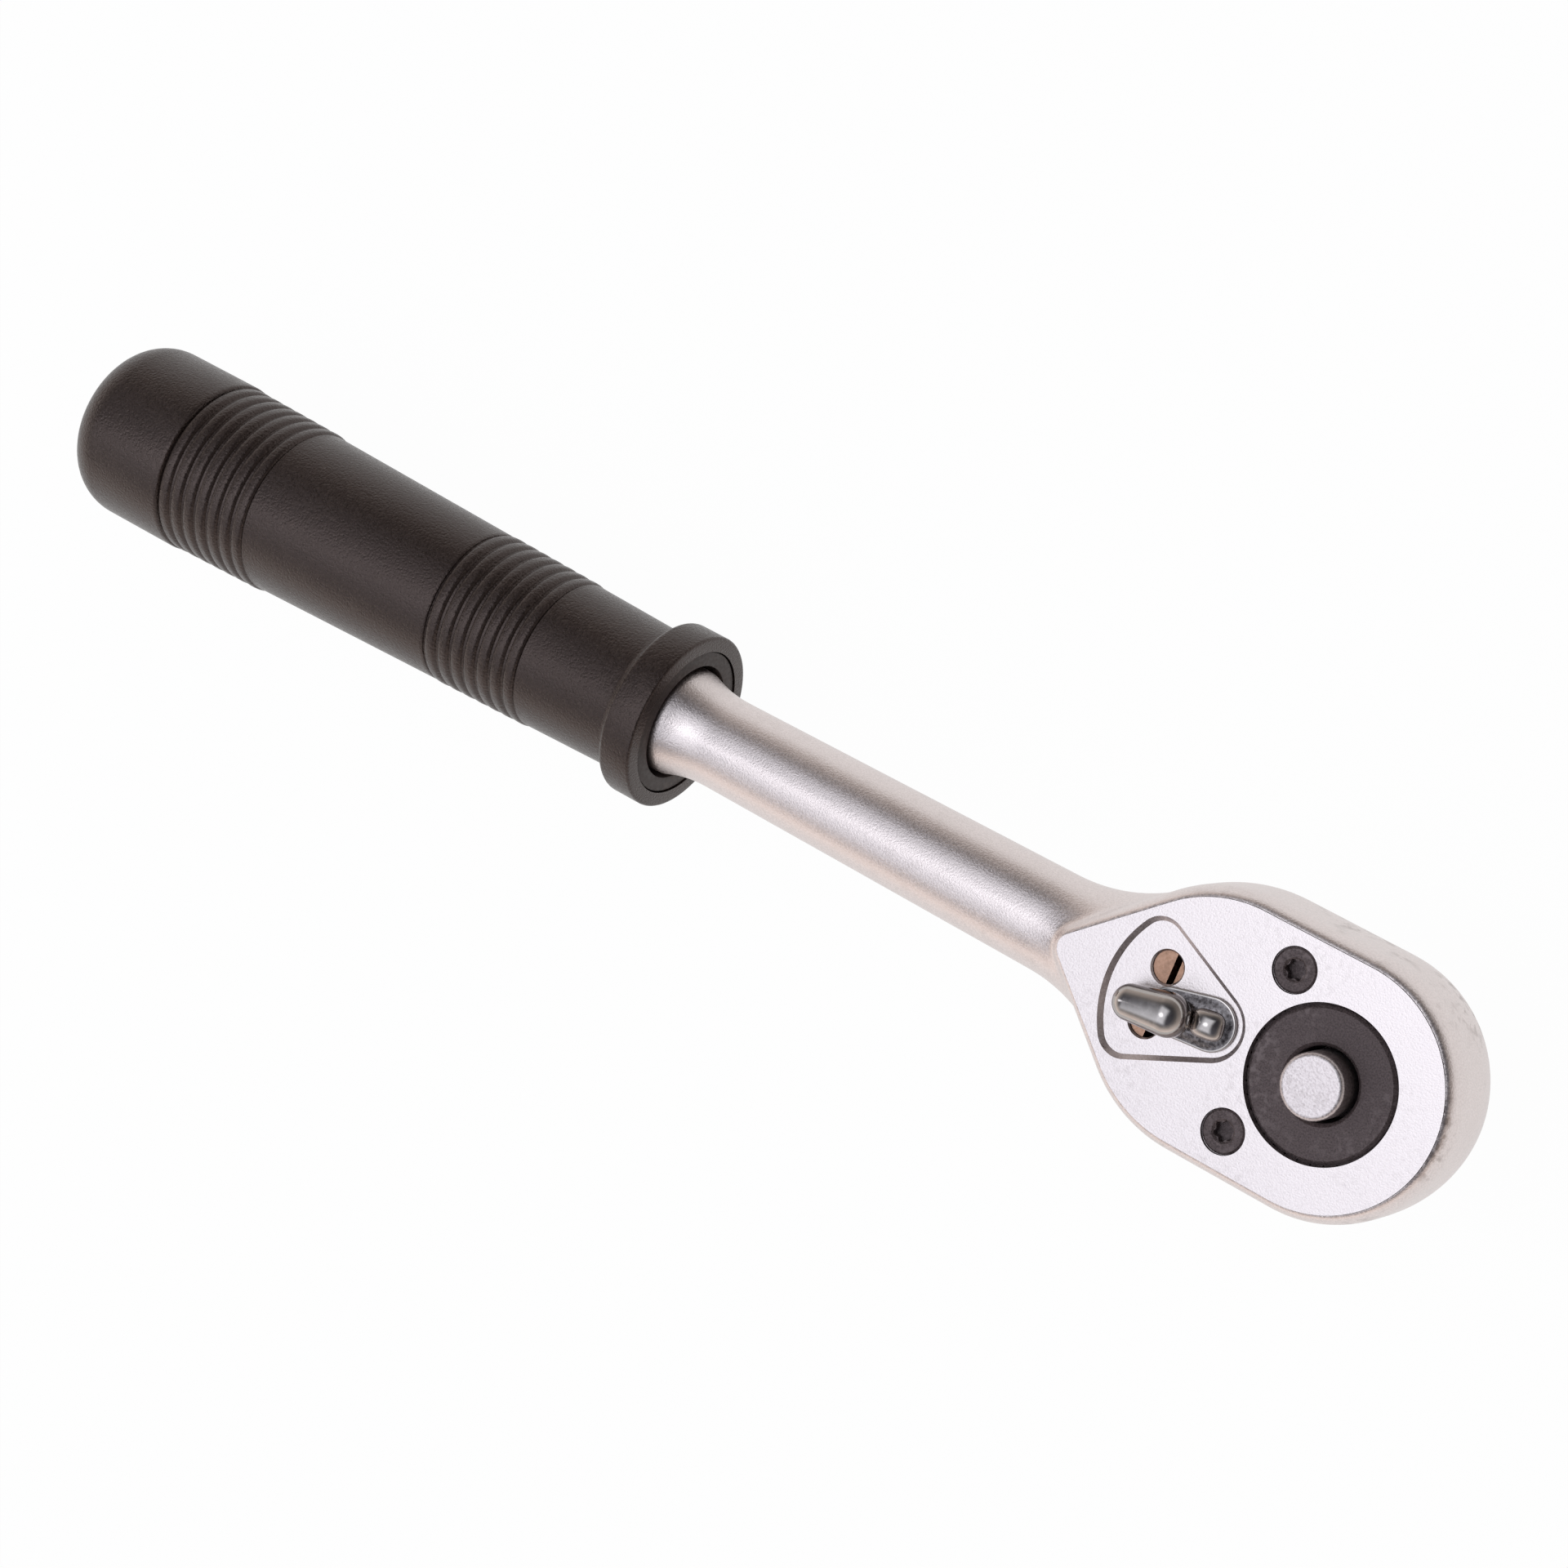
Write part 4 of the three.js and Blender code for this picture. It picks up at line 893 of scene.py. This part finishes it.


# Sight holes' walls: black oxide here is painted shade, darker than the plate's chrome
def paintedShadeSightWall(centre, normal):
    x, y = sightPlace()
    near = math.hypot(centre.x - x, abs(centre.y) - y) < plateSet["sightHole"] + insideSet["slack"]
    return near and abs(normal.z) < 0.3


# The tab's top takes a darker copy of the lever's chrome, painted shade for its dark reflection
def tabTop(centre, normal):  # inside the tab's bright rim, clear of the knob
    top = levels["tabTop"]
    below, above = insideSet["tab"]
    return normal.z > 0.8 and top - crownRise() + below < centre.z < top + above


dress(forged, "forgedChrome", "handle", "ratchet_body")
insideFaces(forged, "bronzedSteel", underPlate)
dress(plate, "satinChrome", "handle", "cover_plate")
# the sight holes' walls get black oxide as painted shade
insideFaces(plate, "blackOxide", paintedShadeSightWall)
dress(screwLeft, "blackOxide", "handle", "cover_screw_left")
dress(screwRight, "blackOxide", "handle", "cover_screw_right")
dress(gear, "blackOxide", "drive", "drive_gear")
dress(button, "buttonChrome", "release", "release_button")
dress(spring, "springSteel", "drive", "release_spring")
shortenSpring(spring)
dress(lever, "polishedChrome", "selector", "reverse_lever")
# painted shade: the tab's top is darker than the rest of the lever
insideFaces(lever, "tabSteelPaintedShade", tabTop)
dress(shaft, "polishedChrome", "selector", "selector_shaft")
dress(sleeve, "gripMoulding", "handle", "grip_sleeve")
dress(core, "coreMoulding", "handle", "grip_core")
keptNodes = {
    "drive_seal_ring": "sealRubber", "socket_ball": "brightSteel",
    "pawl": "bronzedSteel", "pawl_plunger": "brightSteel", "pawl_spring": "springSteel",
}
for node, finish in keptNodes.items():
    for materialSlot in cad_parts[node].material_slots:
        materialSlot.material = finishes[finish]
print("pieces dressed")

# Camera, floor and studio light, in metres
viewSet = {
    "place": (0.1536, 0.1262, 0.5271), "right": (0.7912, 0.3687, -0.4879), "down": (0.4299, -0.9028, 0.0149),
    "ahead": (-0.435, -0.2215, -0.8728), "lens": 89.34, "sensor": 36, "near": 0.01,
}

studioSet = {
    "floorSize": 6, "floorLevel": -0.0006, "floorColour": (0.9, 0.89, 0.88, 1), "floorGlow": 0.975,
    "lampColour": (0.95, 0.98, 1.04), "overhead": ((-0.243, -0.044, 1.072), (0, 0, 0), (0.4, 0.4), 0.65),
    "overGrip": ((-0.40, -0.075, 0.34), (-0.175, 0.0, 0.03), (0.07, 0.26), 0.11),
    "sky": ((0.0, (1.0, 0.90, 0.84)), (0.25, (0.72, 0.65, 0.61)), (0.5, (0.26, 0.25, 0.25)), (0.7, (0.11, 0.11, 0.13))),
    "skyAxis": (0.45, 0.9, 0.0), "skySide": (-0.6, 1.5, 1.0, 0.36),
    "glowX": (-0.14, 0.19, 0.54), "glowY": (-0.06, 0.50, 0.76), "glow": (1.17, 1.23, 1.32),
}


def setCamera():
    v = viewSet
    camera = bpy.data.objects.new("camera", bpy.data.cameras.new("camera"))
    bpy.context.collection.objects.link(camera)
    columns = [Vector(v["right"]), -Vector(v["down"]), -Vector(v["ahead"])]
    turn = Matrix([[column[row] for column in columns] for row in range(3)]).to_quaternion()
    camera.matrix_world = Matrix.Translation(v["place"]) @ turn.to_matrix().to_4x4()
    camera.data.lens = v["lens"]
    camera.data.sensor_width = v["sensor"]
    camera.data.clip_start = v["near"]
    bpy.context.scene.camera = camera


def softLamp(name, place, aim, size, power):  # flat lamp turned to face a point
    lamp = bpy.data.lights.new(name, "AREA")
    lamp.shape = "ELLIPSE"
    lamp.size, lamp.size_y = size
    lamp.energy = power
    lamp.color = studioSet["lampColour"]
    holder = bpy.data.objects.new(name, lamp)
    bpy.context.collection.objects.link(holder)
    holder.location = place
    holder.rotation_euler = (Vector(place) - Vector(aim)).to_track_quat("Z", "Y").to_euler()


def seenRays(tree):  # 1 for what the camera sees straight on, or in metal and glass
    rays = addNode(tree, "ShaderNodeLightPath")
    first = addNode(tree, "ShaderNodeMath", {
        0: rays.outputs["Is Camera Ray"], 1: rays.outputs["Is Glossy Ray"],
    }, operation="MAXIMUM")
    return addNode(tree, "ShaderNodeMath", {
        0: first.outputs[0], 1: rays.outputs["Is Transmission Ray"],
    }, operation="MAXIMUM").outputs[0]


def paleFloor():
    s = studioSet
    clearSelection()
    bpy.ops.mesh.primitive_plane_add(size=s["floorSize"], location=(0, 0, s["floorLevel"]))
    floor = bpy.context.object
    floor.name = "floor"
    paint = bpy.data.materials.new("paleFloor")
    paint.use_nodes = True
    tree = paint.node_tree
    tree.nodes.remove(tree.nodes["Principled BSDF"])
    matte = addNode(tree, "ShaderNodeBsdfDiffuse", {"Color": s["floorColour"]})
    glow = addNode(tree, "ShaderNodeEmission", {"Color": (1, 1, 1, 1), "Strength": 1.0})
    share = addNode(tree, "ShaderNodeMath", {0: seenRays(tree), 1: s["floorGlow"]}, operation="MULTIPLY")
    mixed = addNode(tree, "ShaderNodeMixShader", {0: share.outputs[0], 1: matte.outputs[0], 2: glow.outputs[0]})
    tree.links.new(mixed.outputs[0], tree.nodes["Material Output"].inputs["Surface"])
    floor.data.materials.append(paint)


def softBand(tree, value, band):  # 1 inside the band, fading to 0 past its edge
    centre, inner, outer = band
    apart = addNode(tree, "ShaderNodeMath", {0: value, 1: centre}, operation="SUBTRACT")
    off = addNode(tree, "ShaderNodeMath", {0: apart.outputs[0]}, operation="ABSOLUTE")
    return addNode(tree, "ShaderNodeMapRange", {
        "Value": off.outputs[0], "From Min": inner, "From Max": outer, "To Min": 1.0, "To Max": 0.0,
    }, interpolation_type="SMOOTHSTEP").outputs[0]


def studioWorld():  # warm horizon, dark sky, and a wide soft light overhead
    s = studioSet
    world = bpy.data.worlds.new("studio")
    bpy.context.scene.world = world
    world.use_nodes = True
    tree = world.node_tree
    backdrop = tree.nodes["Background"]
    direction = addNode(tree, "ShaderNodeTexCoord").outputs["Generated"]
    parts = addNode(tree, "ShaderNodeSeparateXYZ", {"Vector": direction})
    sky = addNode(tree, "ShaderNodeValToRGB", {"Fac": parts.outputs["Z"]})
    stops = sky.color_ramp.elements
    for place, colour in s["sky"]:
        stop = stops[0] if place == 0.0 else stops.new(place)
        stop.color = (*colour, 1)
    stops[len(stops) - 1].color = (*s["sky"][-1][1], 1)
    along = addNode(tree, "ShaderNodeVectorMath", {0: direction, 1: s["skyAxis"]}, operation="DOT_PRODUCT")
    near, bright, far, dim = s["skySide"]
    side = addNode(tree, "ShaderNodeMapRange", {
        "Value": along.outputs["Value"], "From Min": near, "From Max": far, "To Min": bright, "To Max": dim,
    })
    lit = addNode(tree, "ShaderNodeVectorMath", {0: sky.outputs[0], 1: side.outputs[0]}, operation="MULTIPLY")
    glowX = softBand(tree, parts.outputs["X"], s["glowX"])
    glowY = softBand(tree, parts.outputs["Y"], s["glowY"])
    glow = addNode(tree, "ShaderNodeMath", {0: glowX, 1: glowY}, operation="MULTIPLY")
    above = addNode(tree, "ShaderNodeMath", {0: parts.outputs["Z"], 1: 0.0}, operation="GREATER_THAN")
    share = addNode(tree, "ShaderNodeMath", {0: glow.outputs[0], 1: above.outputs[0]}, operation="MULTIPLY")
    whole = addNode(tree, "ShaderNodeVectorMath", {
        0: s["glow"], 1: share.outputs[0], 2: lit.outputs[0],
    }, operation="MULTIPLY_ADD")
    rays = addNode(tree, "ShaderNodeLightPath")
    seen = mixColours(tree, rays.outputs["Is Camera Ray"], whole.outputs[0], (1, 1, 1, 1))
    tree.links.new(seen, backdrop.inputs["Color"])


setCamera()
paleFloor()
studioWorld()
softLamp("overhead", *studioSet["overhead"])
softLamp("overGrip", *studioSet["overGrip"])
bpy.context.scene.view_settings.view_transform = "Standard"
print("stage")

clearSelection()
